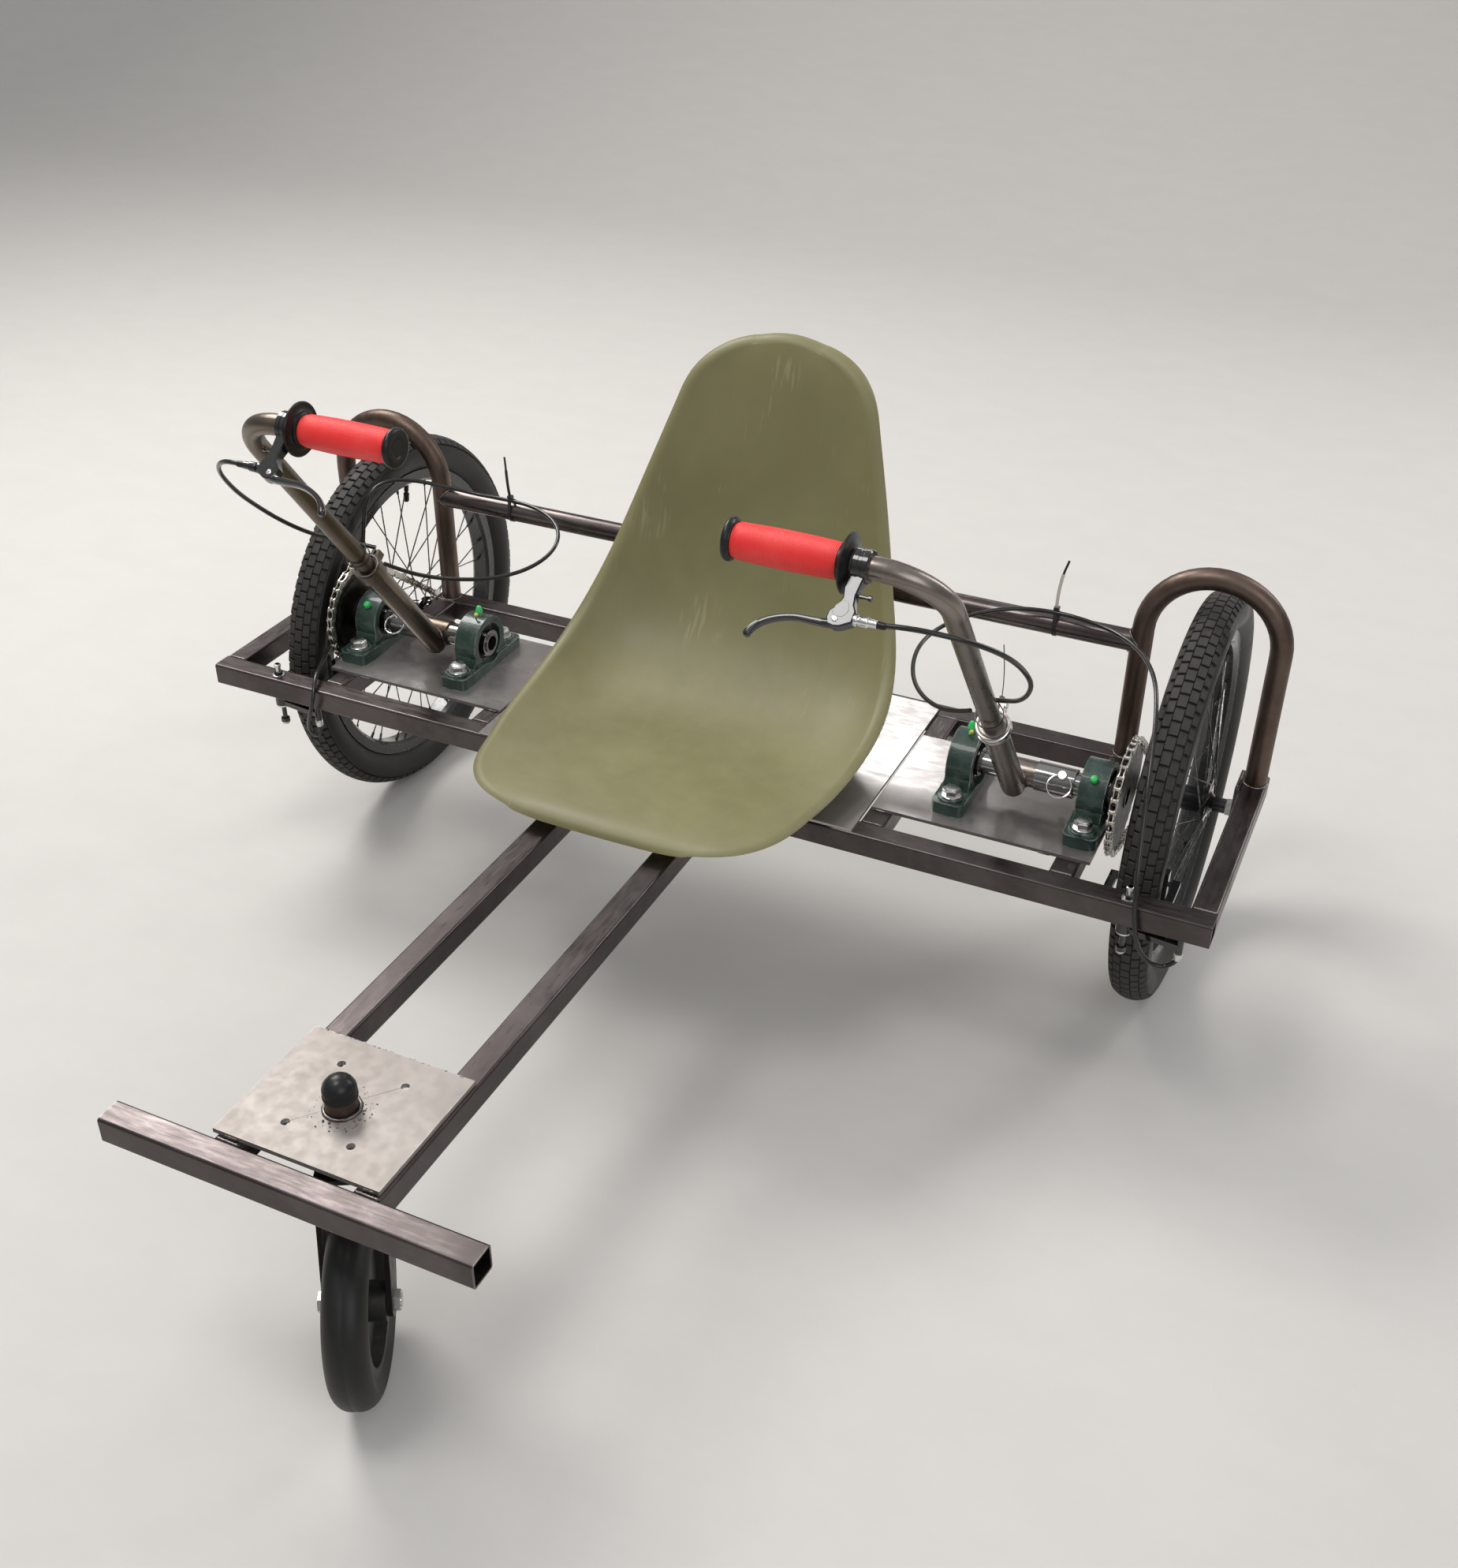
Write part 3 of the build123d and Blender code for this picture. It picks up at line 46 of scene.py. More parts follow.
# Places shared by several pieces, in mm, the same as in the CAD
place = {
    "shaftY": 239.0, "shaftZ": 331.5, "axleY": 396.0, "axleZ": 250.0, "wheelX": 551.0, "frontTubeY": 111.0,
    "tubeTop": 291.0, "tubeSize": 28.0, "railX": 73.5, "innerLongX": 256.5, "outerLongX": 474.0,
    "sideTubeX": 628.0, "stemX": -4.0, "stemY": -506.5, "casterPlateTop": 296.0, "crossTubeZ": 440.0,
}
levers = {
    "left": {"sign": 1, "tilt": 39.4, "collar": 184.0},
    "right": {"sign": -1, "tilt": 36.9, "collar": 200.0},
}


def leverMatrix(side):
    # From a lever's own upright place to the frame
    lever = levers[side]
    shaft = Matrix.Translation((0, place["shaftY"] * mm, place["shaftZ"] * mm))
    turn = Matrix.Rotation(radians(lever["tilt"]), 4, "X")
    return shaft @ turn @ Matrix.Diagonal((lever["sign"], 1, 1, 1))


# Camera: the photograph's own view
cameraSetup = {"spot": (0.7786, -1.3741, 1.3693), "yaw": 25.0, "pitch": -33.04, "roll": 0.37,
               "focal": 2166.06, "imageHeight": 1988, "sensor": 36.0, "clip": (0.05, 60)}


def newObject(name, data):
    made = bpy.data.objects.new(name, data)
    bpy.context.scene.collection.objects.link(made)
    return made


def makeCamera():
    yaw, pitch, roll = (radians(cameraSetup[k]) for k in ("yaw", "pitch", "roll"))
    ahead = Vector((-sin(yaw) * cos(pitch), cos(yaw) * cos(pitch), sin(pitch)))
    level = ahead.cross(Vector(upward)).normalized()
    above = level.cross(ahead)
    right = level * cos(roll) + above * sin(roll)
    up = above * cos(roll) - level * sin(roll)
    lens = bpy.data.cameras.new("viewCamera")
    lens.sensor_width = cameraSetup["sensor"]
    lens.lens = lens.sensor_width * cameraSetup["focal"] / cameraSetup["imageHeight"]
    lens.clip_start, lens.clip_end = cameraSetup["clip"]
    camera = newObject("viewCamera", lens)
    turn = Matrix((right, up, -ahead)).transposed().to_4x4()
    camera.matrix_world = Matrix.Translation(cameraSetup["spot"]) @ turn
    bpy.context.scene.camera = camera


makeCamera()
print("camera placed")


# Node helpers
def feed(tree, node, sockets):
    for key, value in sockets.items():
        if isinstance(value, bpy.types.NodeSocket):
            tree.links.new(value, node.inputs[key])
        else:
            node.inputs[key].default_value = value


def addNode(tree, kind, sockets=None, **settings):
    made = tree.nodes.new("ShaderNode" + kind)
    for key, value in settings.items():
        setattr(made, key, value)
    feed(tree, made, sockets or {})
    return made


def mixColour(tree, factor, first, second):
    first, second = ((*colour, 1) if isinstance(colour, tuple) else colour for colour in (first, second))
    return addNode(tree, "Mix", {0: factor, 6: first, 7: second}, data_type="RGBA").outputs[2]


def spread(tree, value, low, high, toLow=0.0, toHigh=1.0):
    sockets = {0: value, 1: low, 2: high, 3: toLow, 4: toHigh}
    return addNode(tree, "MapRange", sockets, interpolation_type="SMOOTHSTEP").outputs[0]


def maths(tree, operation, first, second):
    return addNode(tree, "Math", {0: first, 1: second}, operation=operation).outputs[0]


def times(tree, first, second):
    return maths(tree, "MULTIPLY", first, second)


def vectorMaths(tree, operation, first, second):
    return addNode(tree, "VectorMath", {0: first, 1: second}, operation=operation).outputs


def objectSpot(tree):
    return addNode(tree, "TexCoord").outputs["Object"]


def noise(tree, spot, scale, detail, rough=0.5, distortion=0.0):
    sockets = {"Vector": spot, "Scale": scale, "Detail": detail, "Roughness": rough, "Distortion": distortion}
    return addNode(tree, "TexNoise", sockets).outputs["Fac"]


def newGroup(name, inputs, outputs):
    group = bpy.data.node_groups.new(name, "ShaderNodeTree")
    for label, value in inputs.items():
        kind = "NodeSocketVector" if isinstance(value, tuple) else "NodeSocketFloat"
        group.interface.new_socket(label, in_out="INPUT", socket_type=kind).default_value = value
    for label in outputs:
        group.interface.new_socket(label, in_out="OUTPUT", socket_type="NodeSocketFloat")
    return group, group.nodes.new("NodeGroupInput").outputs, group.nodes.new("NodeGroupOutput")


def useGroup(tree, group, *values):
    return addNode(tree, "Group", dict(enumerate(values)), node_tree=group).outputs


# Shared effects, as shader node groups
def makeMottle():
    group, given, out = newGroup("mottle", {"Stretch": (1, 1, 1), "Blotch Scale": 9.0, "Grain Scale": 260.0},
                                 ("Blotch", "Streak", "Grain"))
    spot = objectSpot(group)
    drawn = vectorMaths(group, "MULTIPLY", spot, given["Stretch"])[0]
    feed(group, out, {"Blotch": noise(group, spot, given["Blotch Scale"], 7.0, 0.62, 0.4),
                      "Streak": noise(group, drawn, 30.0, 5.0, 0.6),
                      "Grain": noise(group, spot, given["Grain Scale"], 4.0, 0.6)})
    return group


# Edge mask: bare edges, and on the mill steel tubes also a painted highlight along the rounded corners
def makeEdgeWearAndHighlight():
    inputs = {"Width": 0.002, "Breakup Scale": 60.0, "Amount": 1.0}
    group, given, out = newGroup("edgeWearAndHighlight", inputs, ("Mask",))
    rounded = addNode(group, "Bevel", {"Radius": given["Width"]}, samples=4).outputs[0]
    flat = addNode(group, "NewGeometry").outputs["Normal"]
    edge = spread(group, vectorMaths(group, "DOT_PRODUCT", rounded, flat)["Value"], 0.995, 0.90)
    broken = spread(group, noise(group, objectSpot(group), given["Breakup Scale"], 5.0, 0.65), 0.38, 0.62)
    feed(group, out, {"Mask": times(group, times(group, edge, broken), given["Amount"])})
    return group


def makeSpecks():
    group, given, out = newGroup("specks", {"Scale": 140.0, "Density": 0.3}, ("Mask",))
    spot = objectSpot(group)
    cells = addNode(group, "TexVoronoi", {"Vector": spot, "Scale": given["Scale"], "Randomness": 1.0})
    dots = spread(group, cells.outputs["Distance"], 0.30, 0.12)
    sparse = maths(group, "SUBTRACT", 0.78, given["Density"])
    patches = spread(group, noise(group, spot, 14.0, 4.0), sparse, 0.8)
    feed(group, out, {"Mask": times(group, dots, patches)})
    return group


def makeDust():
    group, given, out = newGroup("dust", {"Amount": 0.5}, ("Mask",))
    normal = addNode(group, "NewGeometry").outputs["Normal"]
    rise = addNode(group, "SeparateXYZ", {0: normal}).outputs["Z"]
    patches = spread(group, noise(group, objectSpot(group), 46.0, 8.0, 0.7), 0.35, 0.75)
    lying = times(group, spread(group, rise, -0.1, 1.0), patches)
    feed(group, out, {"Mask": times(group, lying, given["Amount"])})
    return group


mottleGroup, edgeGroup, speckGroup, dustGroup = makeMottle(), makeEdgeWearAndHighlight(), makeSpecks(), makeDust()
materials = {}


def newMaterial(name):
    materials[name] = bpy.data.materials.new(name)
    materials[name].use_nodes = True
    tree = materials[name].node_tree
    return tree, tree.nodes["Principled BSDF"]


def bump(tree, shader, height, strength, distance):
    made = addNode(tree, "Bump", {"Height": height, "Strength": strength, "Distance": distance})
    feed(tree, shader, {"Normal": made.outputs[0]})


# Steels: dark and pale scale, rust and bare edges (on the square mill steel tubes the pale edges are also a
# painted highlight along the rounded corners), stretch of the streaks, roughness low and high
steelDefaults = {"wearAndHighlight": 0.0, "rusty": 0.0, "blotch": 9.0, "streaks": 0.4, "metal": 0.95}
# Mill steel: its pale edges are partly bare metal and partly a painted highlight along the rounded tube
# corners
millSteel = dict(dark=(0.068, 0.057, 0.056), pale=(0.110, 0.095, 0.093), rust=(0.13, 0.075, 0.05),
                 edge=(0.46, 0.43, 0.42), rough=(0.26, 0.42), wearAndHighlight=0.6, rusty=0.04)
steelFinishes = {
    "millSteelAcross": dict(millSteel, stretch=(1, 7, 7)),
    "millSteelAlong": dict(millSteel, stretch=(7, 1, 7)),
    "plateSteel": dict(dark=(0.34, 0.315, 0.305), pale=(0.50, 0.475, 0.46), rust=(0.30, 0.22, 0.18),
                       edge=(0.60, 0.58, 0.57), stretch=(1.5, 4, 4), rough=(0.17, 0.25), wearAndHighlight=0.2, blotch=5.0,
                       streaks=0.15, metal=0.7),
    "casterPlate": dict(dark=(0.285, 0.255, 0.235), pale=(0.335, 0.305, 0.285), rust=(0.24, 0.17, 0.13),
                        edge=(0.62, 0.60, 0.57), stretch=(3, 3, 3), rough=(0.46, 0.56), wearAndHighlight=0.7, blotch=6.0,
                        streaks=0.05, metal=0.55),
    "hoopSteel": dict(dark=(0.108, 0.075, 0.060), pale=(0.175, 0.130, 0.108), rust=(0.17, 0.085, 0.05),
                      stretch=(4, 4, 1), rough=(0.38, 0.50), rusty=0.05),
    "crossSteel": dict(dark=(0.085, 0.070, 0.068), pale=(0.155, 0.132, 0.128), rust=(0.15, 0.09, 0.06),
                       stretch=(1, 7, 7), rough=(0.22, 0.36), rusty=0.04),
    "leverSteel": dict(dark=(0.225, 0.192, 0.168), pale=(0.30, 0.268, 0.240), rust=(0.20, 0.13, 0.09),
                       stretch=(5, 2, 1), rough=(0.26, 0.34), blotch=5.0, streaks=0.2),
    # A darker copy of the lever steel, for the right lever
    "darkerLeverSteel": dict(dark=(0.125, 0.098, 0.074), pale=(0.185, 0.152, 0.122), rust=(0.20, 0.12, 0.07),
                         stretch=(5, 2, 1), rough=(0.28, 0.38), blotch=5.0, streaks=0.2),
    "blackSteel": dict(dark=(0.014, 0.013, 0.013), pale=(0.028, 0.026, 0.025), rust=(0.08, 0.05, 0.035),
                       edge=(0.20, 0.19, 0.18), stretch=(3, 3, 3), rough=(0.34, 0.48), wearAndHighlight=0.4, rusty=0.03),
    "weldSteel": dict(dark=(0.085, 0.072, 0.068), pale=(0.26, 0.24, 0.23), rust=(0.12, 0.07, 0.045),
                      edge=(0.55, 0.54, 0.53), stretch=(4, 4, 4), rough=(0.28, 0.45), wearAndHighlight=0.4, rusty=0.20,
                      blotch=30.0),
    "groundSteel": dict(dark=(0.19, 0.187, 0.184), pale=(0.33, 0.327, 0.322), rust=(0.20, 0.15, 0.12),
                        edge=(0.7, 0.7, 0.7), stretch=(1, 14, 14), rough=(0.09, 0.16), wearAndHighlight=0.4, streaks=0.2),
}


def makeSteel(name, look):
    look = {**steelDefaults, **look}
    tree, shader = newMaterial(name)
    mottle = useGroup(tree, mottleGroup, look["stretch"], look["blotch"], 700.0)
    rust = useGroup(tree, speckGroup, 260.0, look["rusty"])["Mask"]
    body = mixColour(tree, spread(tree, mottle["Blotch"], 0.34, 0.66), look["dark"], look["pale"])
    drawn = spread(tree, mottle["Streak"], 0.44, 0.72, 0.0, look["streaks"])
    colour = mixColour(tree, rust, mixColour(tree, drawn, body, look["pale"]), look["rust"])
    # Pale edges: bare metal, and on the mill steel tubes also a painted highlight along the corners
    if look["wearAndHighlight"]:
        edge = useGroup(tree, edgeGroup, 0.0014, 26.0, look["wearAndHighlight"])["Mask"]
        colour = mixColour(tree, edge, colour, look["edge"])
    rough = spread(tree, mottle["Streak"], 0.30, 0.72, *look["rough"])
    feed(tree, shader, {"Base Color": colour, "Roughness": maths(tree, "ADD", rough, times(tree, rust, 0.25)),
                        "Metallic": spread(tree, rust, 0.0, 1.0, look["metal"], 0.35)})
    bump(tree, shader, mottle["Grain"], 0.03, 0.0002)


# Rubbers, plastics and nylon: dark and pale colour, roughness low and high, dust
plasticDefaults = {"dustColour": (0.28, 0.26, 0.23), "bump": 0.12, "grain": 600.0, "shine": 0.5}
plasticFinishes = {
    "tyreRubber": dict(dark=(0.020, 0.019, 0.018), pale=(0.042, 0.039, 0.036), rough=(0.58, 0.78), dust=0.35,
                       dustColour=(0.10, 0.09, 0.08), bump=0.3, grain=900.0, shine=0.4),
    "tyreSide": dict(dark=(0.009, 0.009, 0.009), pale=(0.016, 0.015, 0.014), rough=(0.40, 0.55), dust=0.10,
                     dustColour=(0.05, 0.045, 0.04), grain=700.0, shine=0.35),
    "blackRubber": dict(dark=(0.008, 0.008, 0.008), pale=(0.014, 0.014, 0.014), rough=(0.26, 0.38), dust=0.06,
                        dustColour=(0.08, 0.075, 0.07), shine=0.35),
    "blackPlastic": dict(dark=(0.012, 0.012, 0.012), pale=(0.028, 0.027, 0.026), rough=(0.38, 0.55), dust=0.5,
                         dustColour=(0.10, 0.09, 0.08)),
    "cableSkin": dict(dark=(0.010, 0.010, 0.010), pale=(0.016, 0.016, 0.016), rough=(0.16, 0.26), dust=0.05),
    "tieNylon": dict(dark=(0.012, 0.012, 0.013), pale=(0.022, 0.022, 0.022), rough=(0.30, 0.42), dust=0.1),
    # Pale nylon: a painted highlight on the black tail of a tie
    "paintedHighlightNylon": dict(dark=(0.62, 0.56, 0.50), pale=(0.75, 0.70, 0.64), rough=(0.35, 0.5), dust=0.05),
    "greenCap": dict(dark=(0.03, 0.46, 0.10), pale=(0.05, 0.62, 0.16), rough=(0.30, 0.42), dust=0.05),
    "yellowMark": dict(dark=(0.55, 0.50, 0.06), pale=(0.68, 0.62, 0.10), rough=(0.4, 0.5), dust=0.1),
}


def makePlastic(name, look):
    look = {**plasticDefaults, **look}
    tree, shader = newMaterial(name)
    mottle = useGroup(tree, mottleGroup, (1, 1, 1), 14.0, look["grain"])
    dust = useGroup(tree, dustGroup, look["dust"])["Mask"]
    body = mixColour(tree, spread(tree, mottle["Blotch"], 0.3, 0.7), look["dark"], look["pale"])
    rough = spread(tree, mottle["Blotch"], 0.3, 0.7, *look["rough"])
    feed(tree, shader, {"Base Color": mixColour(tree, dust, body, look["dustColour"]),
                        "Roughness": maths(tree, "ADD", rough, times(tree, dust, 0.25)),
                        "Specular IOR Level": look["shine"]})
    bump(tree, shader, mottle["Grain"], look["bump"], 0.0003)


# Bright and plated metals: clean and grimy colour, roughness low and high, bare edges
metalDefaults = {"edge": (0.85, 0.84, 0.82), "wearAndHighlight": 0.6, "grime": 0.6, "metal": 1.0, "coat": 0.0}
metalFinishes = {
    "zincBolt": dict(pale=(0.66, 0.66, 0.64), dark=(0.34, 0.33, 0.31), rough=(0.20, 0.36)),
    "nickelChain": dict(pale=(0.62, 0.59, 0.53), dark=(0.24, 0.21, 0.17), rough=(0.16, 0.30), grime=0.75),
    "ringWire": dict(pale=(0.82, 0.82, 0.82), dark=(0.5, 0.5, 0.5), rough=(0.12, 0.22)),
    "darkAlloy": dict(pale=(0.016, 0.016, 0.017), dark=(0.010, 0.010, 0.010), rough=(0.12, 0.20), metal=0.3,
                      edge=(0.26, 0.26, 0.26), wearAndHighlight=0.12, coat=0.7),
    "rimAlloy": dict(pale=(0.030, 0.030, 0.031), dark=(0.018, 0.018, 0.018), rough=(0.20, 0.34), metal=0.5,
                     edge=(0.42, 0.42, 0.41), wearAndHighlight=0.8, coat=0.4),
    "spokeSteel": dict(pale=(0.075, 0.075, 0.075), dark=(0.030, 0.030, 0.030), rough=(0.24, 0.4)),
    "sprocketSteel": dict(pale=(0.070, 0.066, 0.060), dark=(0.028, 0.026, 0.024), rough=(0.28, 0.46),
                          edge=(0.50, 0.48, 0.45), wearAndHighlight=0.45),
    "bearingSteel": dict(pale=(0.24, 0.235, 0.23), dark=(0.12, 0.115, 0.11), rough=(0.2, 0.30),
                         edge=(0.5, 0.5, 0.5), wearAndHighlight=0.3),
    "sealBlack": dict(pale=(0.03, 0.03, 0.03), dark=(0.015, 0.015, 0.015), rough=(0.35, 0.5), metal=0.2,
                      edge=(0.2, 0.2, 0.2)),
}


def makeBrightMetal(name, look):
    look = {**metalDefaults, **look}
    tree, shader = newMaterial(name)
    mottle = useGroup(tree, mottleGroup, (3, 3, 3), 30.0, 700.0)
    edge = useGroup(tree, edgeGroup, 0.0006, 120.0, look["wearAndHighlight"])["Mask"]
    grime = spread(tree, mottle["Blotch"], 0.50, 0.72, 0.0, look["grime"])
    body = mixColour(tree, grime, look["pale"], look["dark"])
    feed(tree, shader, {"Base Color": mixColour(tree, edge, body, look["edge"]), "Metallic": look["metal"],
                        "Roughness": spread(tree, mottle["Streak"], 0.3, 0.7, *look["rough"])})
    if look["coat"]:
        feed(tree, shader, {"Coat Weight": look["coat"], "Coat Roughness": 0.12})
    bump(tree, shader, mottle["Grain"], 0.08, 0.0002)


def makeCasting():
    look = {"dark": (0.010, 0.028, 0.022), "pale": (0.028, 0.062, 0.048), "bare": (0.42, 0.44, 0.42),
            "coat": 0.35}
    tree, shader = newMaterial("greenCasting")
    mottle = useGroup(tree, mottleGroup, (1, 1, 1), 60.0, 420.0)
    edge = useGroup(tree, edgeGroup, 0.0022, 70.0, 0.75)["Mask"]
    chips = useGroup(tree, speckGroup, 170.0, 0.20)["Mask"]
    body = mixColour(tree, spread(tree, mottle["Blotch"], 0.35, 0.65), look["dark"], look["pale"])
    worn = mixColour(tree, maths(tree, "MAXIMUM", edge, chips), body, look["bare"])
    feed(tree, shader, {"Base Color": worn, "Roughness": spread(tree, mottle["Grain"], 0.3, 0.7, 0.26, 0.44),
                        "Coat Weight": look["coat"]})
    bump(tree, shader, maths(tree, "ADD", mottle["Blotch"], mottle["Grain"]), 0.35, 0.0012)


def makeSeatSkin():
    # The scuff colour marks scratches and worn edges, and also paints the highlights in the rubbed spots
    look = {"olive": (0.215, 0.200, 0.092), "deep": (0.178, 0.165, 0.073), "scuffAndHighlight": (0.40, 0.375, 0.24),
            "dust": (0.32, 0.30, 0.20), "scratches": 0.35, "rubsAndHighlights": 0.32}
    # Middle and reach of the rubbed spots, in metres: pale patches that are partly scuffs and partly painted
    # highlights of dents and the curved top
    rubsAndHighlights = (((0.0, 0.446, 0.668), 0.030), ((-0.150, 0.375, 0.480), 0.034), ((-0.060, 0.330, 0.380), 0.045))
    tree, shader = newMaterial("oliveShell")
    mottle = useGroup(tree, mottleGroup, (5, 1.2, 1.2), 4.0, 1400.0)
    dust = useGroup(tree, dustGroup, 0.12)["Mask"]
    edge = useGroup(tree, edgeGroup, 0.004, 14.0, 0.35)["Mask"]
    body = mixColour(tree, spread(tree, mottle["Blotch"], 0.35, 0.68), look["deep"], look["olive"])
    spot = objectSpot(tree)
    hairs = noise(tree, vectorMaths(tree, "MULTIPLY", spot, (60.0, 5.0, 5.0))[0], 4.0, 3.0)
    zone = noise(tree, spot, 9.0, 2.0)
    scratches = times(tree, spread(tree, hairs, 0.64, 0.74), spread(tree, zone, 0.52, 0.68))
    rubbedAndHighlit = 0.0
    # Each spot is a pale patch: partly a scuff, partly a painted highlight
    for middle, reach in rubsAndHighlights:
        away = vectorMaths(tree, "DISTANCE", spot, middle)["Value"]
        near = times(tree, spread(tree, away, reach, reach * 0.4), spread(tree, hairs, 0.50, 0.62))
        rubbedAndHighlit = maths(tree, "MAXIMUM", near, rubbedAndHighlit)
    hair, rubAndHighlight = times(tree, scratches, look["scratches"]), times(tree, rubbedAndHighlit, look["rubsAndHighlights"])
    marks = maths(tree, "MAXIMUM", hair, rubAndHighlight)
    colour = mixColour(tree, edge, mixColour(tree, marks, body, look["scuffAndHighlight"]), look["scuffAndHighlight"])
    rough = spread(tree, mottle["Blotch"], 0.3, 0.7, 0.44, 0.54)
    feed(tree, shader, {"Base Color": mixColour(tree, dust, colour, look["dust"]),
                        "Roughness": maths(tree, "ADD", rough, times(tree, scratches, 0.2))})
    bump(tree, shader, maths(tree, "ADD", mottle["Grain"], zone), 0.10, 0.0004)


def makeGripSkin():
    look = {"red": (0.86, 0.030, 0.028), "worn": (0.90, 0.055, 0.050), "ribs": 210.0}
    tree, shader = newMaterial("redGrip")
    mottle = useGroup(tree, mottleGroup, (1, 1, 1), 30.0, 800.0)
    body = mixColour(tree, spread(tree, mottle["Blotch"], 0.4, 0.7), look["red"], look["worn"])
    feed(tree, shader, {"Base Color": body, "Roughness": 0.5})
    ribs = addNode(tree, "TexWave", {"Vector": objectSpot(tree), "Scale": look["ribs"], "Distortion": 0.0},
                   bands_direction="X")
    bump(tree, shader, maths(tree, "ADD", ribs.outputs["Fac"], mottle["Grain"]), 0.5, 0.0004)


for name, look in steelFinishes.items():
    makeSteel(name, look)
for name, look in plasticFinishes.items():
    makePlastic(name, look)
for name, look in metalFinishes.items():
    makeBrightMetal(name, look)
makeCasting()
makeSeatSkin()
makeGripSkin()
print("materials made:", len(materials))


# Mesh helpers: a shape is lists of points in mm, faces and a material number for each face
def newShape():
    return {"points": [], "faces": [], "paint": []}


def addFaces(shape, points, faces, paint=0):
    start = len(shape["points"])
    shape["points"] += [Vector(p) for p in points]
    for face in faces:
        shape["faces"].append([start + k for k in face])
        shape["paint"].append(paint)


def addRings(shape, rings, paint=0, loop=False, capStart=False, capEnd=False):
    count = len(rings[0])
    faces = []
    for row in range(len(rings) if loop else len(rings) - 1):
        here, there = row * count, (row + 1) % len(rings) * count
        for k in range(count):
            after = (k + 1) % count
            faces.append([here + k, here + after, there + after, there + k])
    if capStart:
        faces.append(list(range(count))[::-1])
    if capEnd:
        faces.append([(len(rings) - 1) * count + k for k in range(count)])
    addFaces(shape, [p for ring in rings for p in ring], faces, paint)


def frameFor(axis):
    axis = Vector(axis).normalized()
    side = Vector(upward) if abs(axis.z) < 0.9 else Vector(sideways)
    first = axis.cross(side).normalized()
    return axis, first, axis.cross(first).normalized()


def circlePath(centre, first, second, radius, count, phase=0.0):
    angles = [2 * pi * k / count + phase for k in range(count)]
    return [centre + (first * cos(angle) + second * sin(angle)) * radius for angle in angles]


def addTurned(shape, outline, centre, axis=sideways, sides=32, paint=0, loop=False, phase=0.0):
    # outline: (distance along the axis, radius)
    axis, first, second = frameFor(axis)
    spots = [(Vector(centre) + axis * along, radius) for along, radius in outline]
    rings = [circlePath(spot, first, second, radius, sides, phase) for spot, radius in spots]
    addRings(shape, rings, paint, loop=loop, capStart=not loop, capEnd=not loop)


def addHex(shape, centre, axis, across, height, paint=0, turn=0.0):
    radius = across / sqrt(3)
    outline = [(0, radius), (height * 0.86, radius), (height, radius * 0.90)]
    addTurned(shape, outline, centre, axis, sides=6, paint=paint, phase=turn)


def addBall(shape, centre, radius, sides=12, paint=0):
    outline = [(-radius * cos(pi * k / 8), max(radius * sin(pi * k / 8), 0.001)) for k in range(9)]
    addTurned(shape, outline, centre, upward, sides, paint)


def carriedFrames(path, loop):
    # Each point of a path with the two directions across it, turned no more than the path turns
    normal = None
    for k, point in enumerate(path):
        before = path[k - 1] if k or loop else point
        after = path[(k + 1) % len(path)] if k < len(path) - 1 or loop else point
        heading = (after - before).normalized()
        if normal is None:
            normal = frameFor(heading)[1]
        normal = (normal - heading * normal.dot(heading)).normalized()
        yield point, normal, heading.cross(normal)


def roundSection(radius, sides):
    return [(radius * cos(2 * pi * k / sides), radius * sin(2 * pi * k / sides)) for k in range(sides)]


def boxSection(wide, tall):
    return [(-wide, -tall), (wide, -tall), (wide, tall), (-wide, tall)]


def addTube(shape, path, section, paint=0, loop=False):
    # section: (across, up) points of a profile carried along the path
    frames = carriedFrames([Vector(p) for p in path], loop)
    rings = [[point + first * a + second * b for a, b in section] for point, first, second in frames]
    addRings(shape, rings, paint, loop=loop, capStart=not loop, capEnd=not loop)


def smoothPath(points, perSpan=6):
    # A curve through all the points
    points = [Vector(p) for p in points]
    points = [points[0] * 2 - points[1]] + points + [points[-1] * 2 - points[-2]]
    made = []
    for p0, p1, p2, p3 in zip(points, points[1:], points[2:], points[3:]):
        for step in range(perSpan):
            t = step / perSpan
            made.append(0.5 * ((2 * p1) + (p2 - p0) * t + (2 * p0 - 5 * p1 + 4 * p2 - p3) * t * t
                               + (3 * p1 - p0 - 3 * p2 + p3) * t ** 3))
    made.append(points[-2])
    return made


def addBead(shape, path, radius, loop=False, paint=0, ripple=1.3):
    # A weld bead: overlapping ripples, a little uneven
    path = [Vector(p) for p in path]
    dense = []
    for a, b in zip(path, path[1:] + (path[:1] if loop else [])):
        steps = max(1, round((b - a).length / ripple))
        dense += [a.lerp(b, k / steps) for k in range(steps)]
    if not loop:
        dense.append(path[-1])
    rings = []
    for k, (point, normal, other) in enumerate(carriedFrames(dense, loop)):
        size = radius * (0.86 + 0.20 * (k % 3) / 2 + random.uniform(-0.08, 0.08))
        if not loop and k in (0, len(dense) - 1):
            size *= 0.45
        wander = normal * random.uniform(-0.15, 0.15) * radius
        rings.append(circlePath(point + wander, normal, other, size, 7))
    addRings(shape, rings, paint, loop=loop, capStart=not loop, capEnd=not loop)


def insetOutline(outline, amount):
    area = sum(a[0] * b[1] - b[0] * a[1] for a, b in zip(outline, outline[1:] + outline[:1]))
    turn = 1 if area > 0 else -1
    made = []
    for before, here, after in zip(outline[-1:] + outline[:-1], outline, outline[1:] + outline[:1]):
        first = (Vector(here) - Vector(before)).normalized()
        second = (Vector(after) - Vector(here)).normalized()
        inward = Vector((-first.y - second.y, first.x + second.x)) * turn
        inward = inward.normalized() * amount / max(0.5, (inward.length / 2))
        made.append((here[0] + inward.x, here[1] + inward.y))
    return made


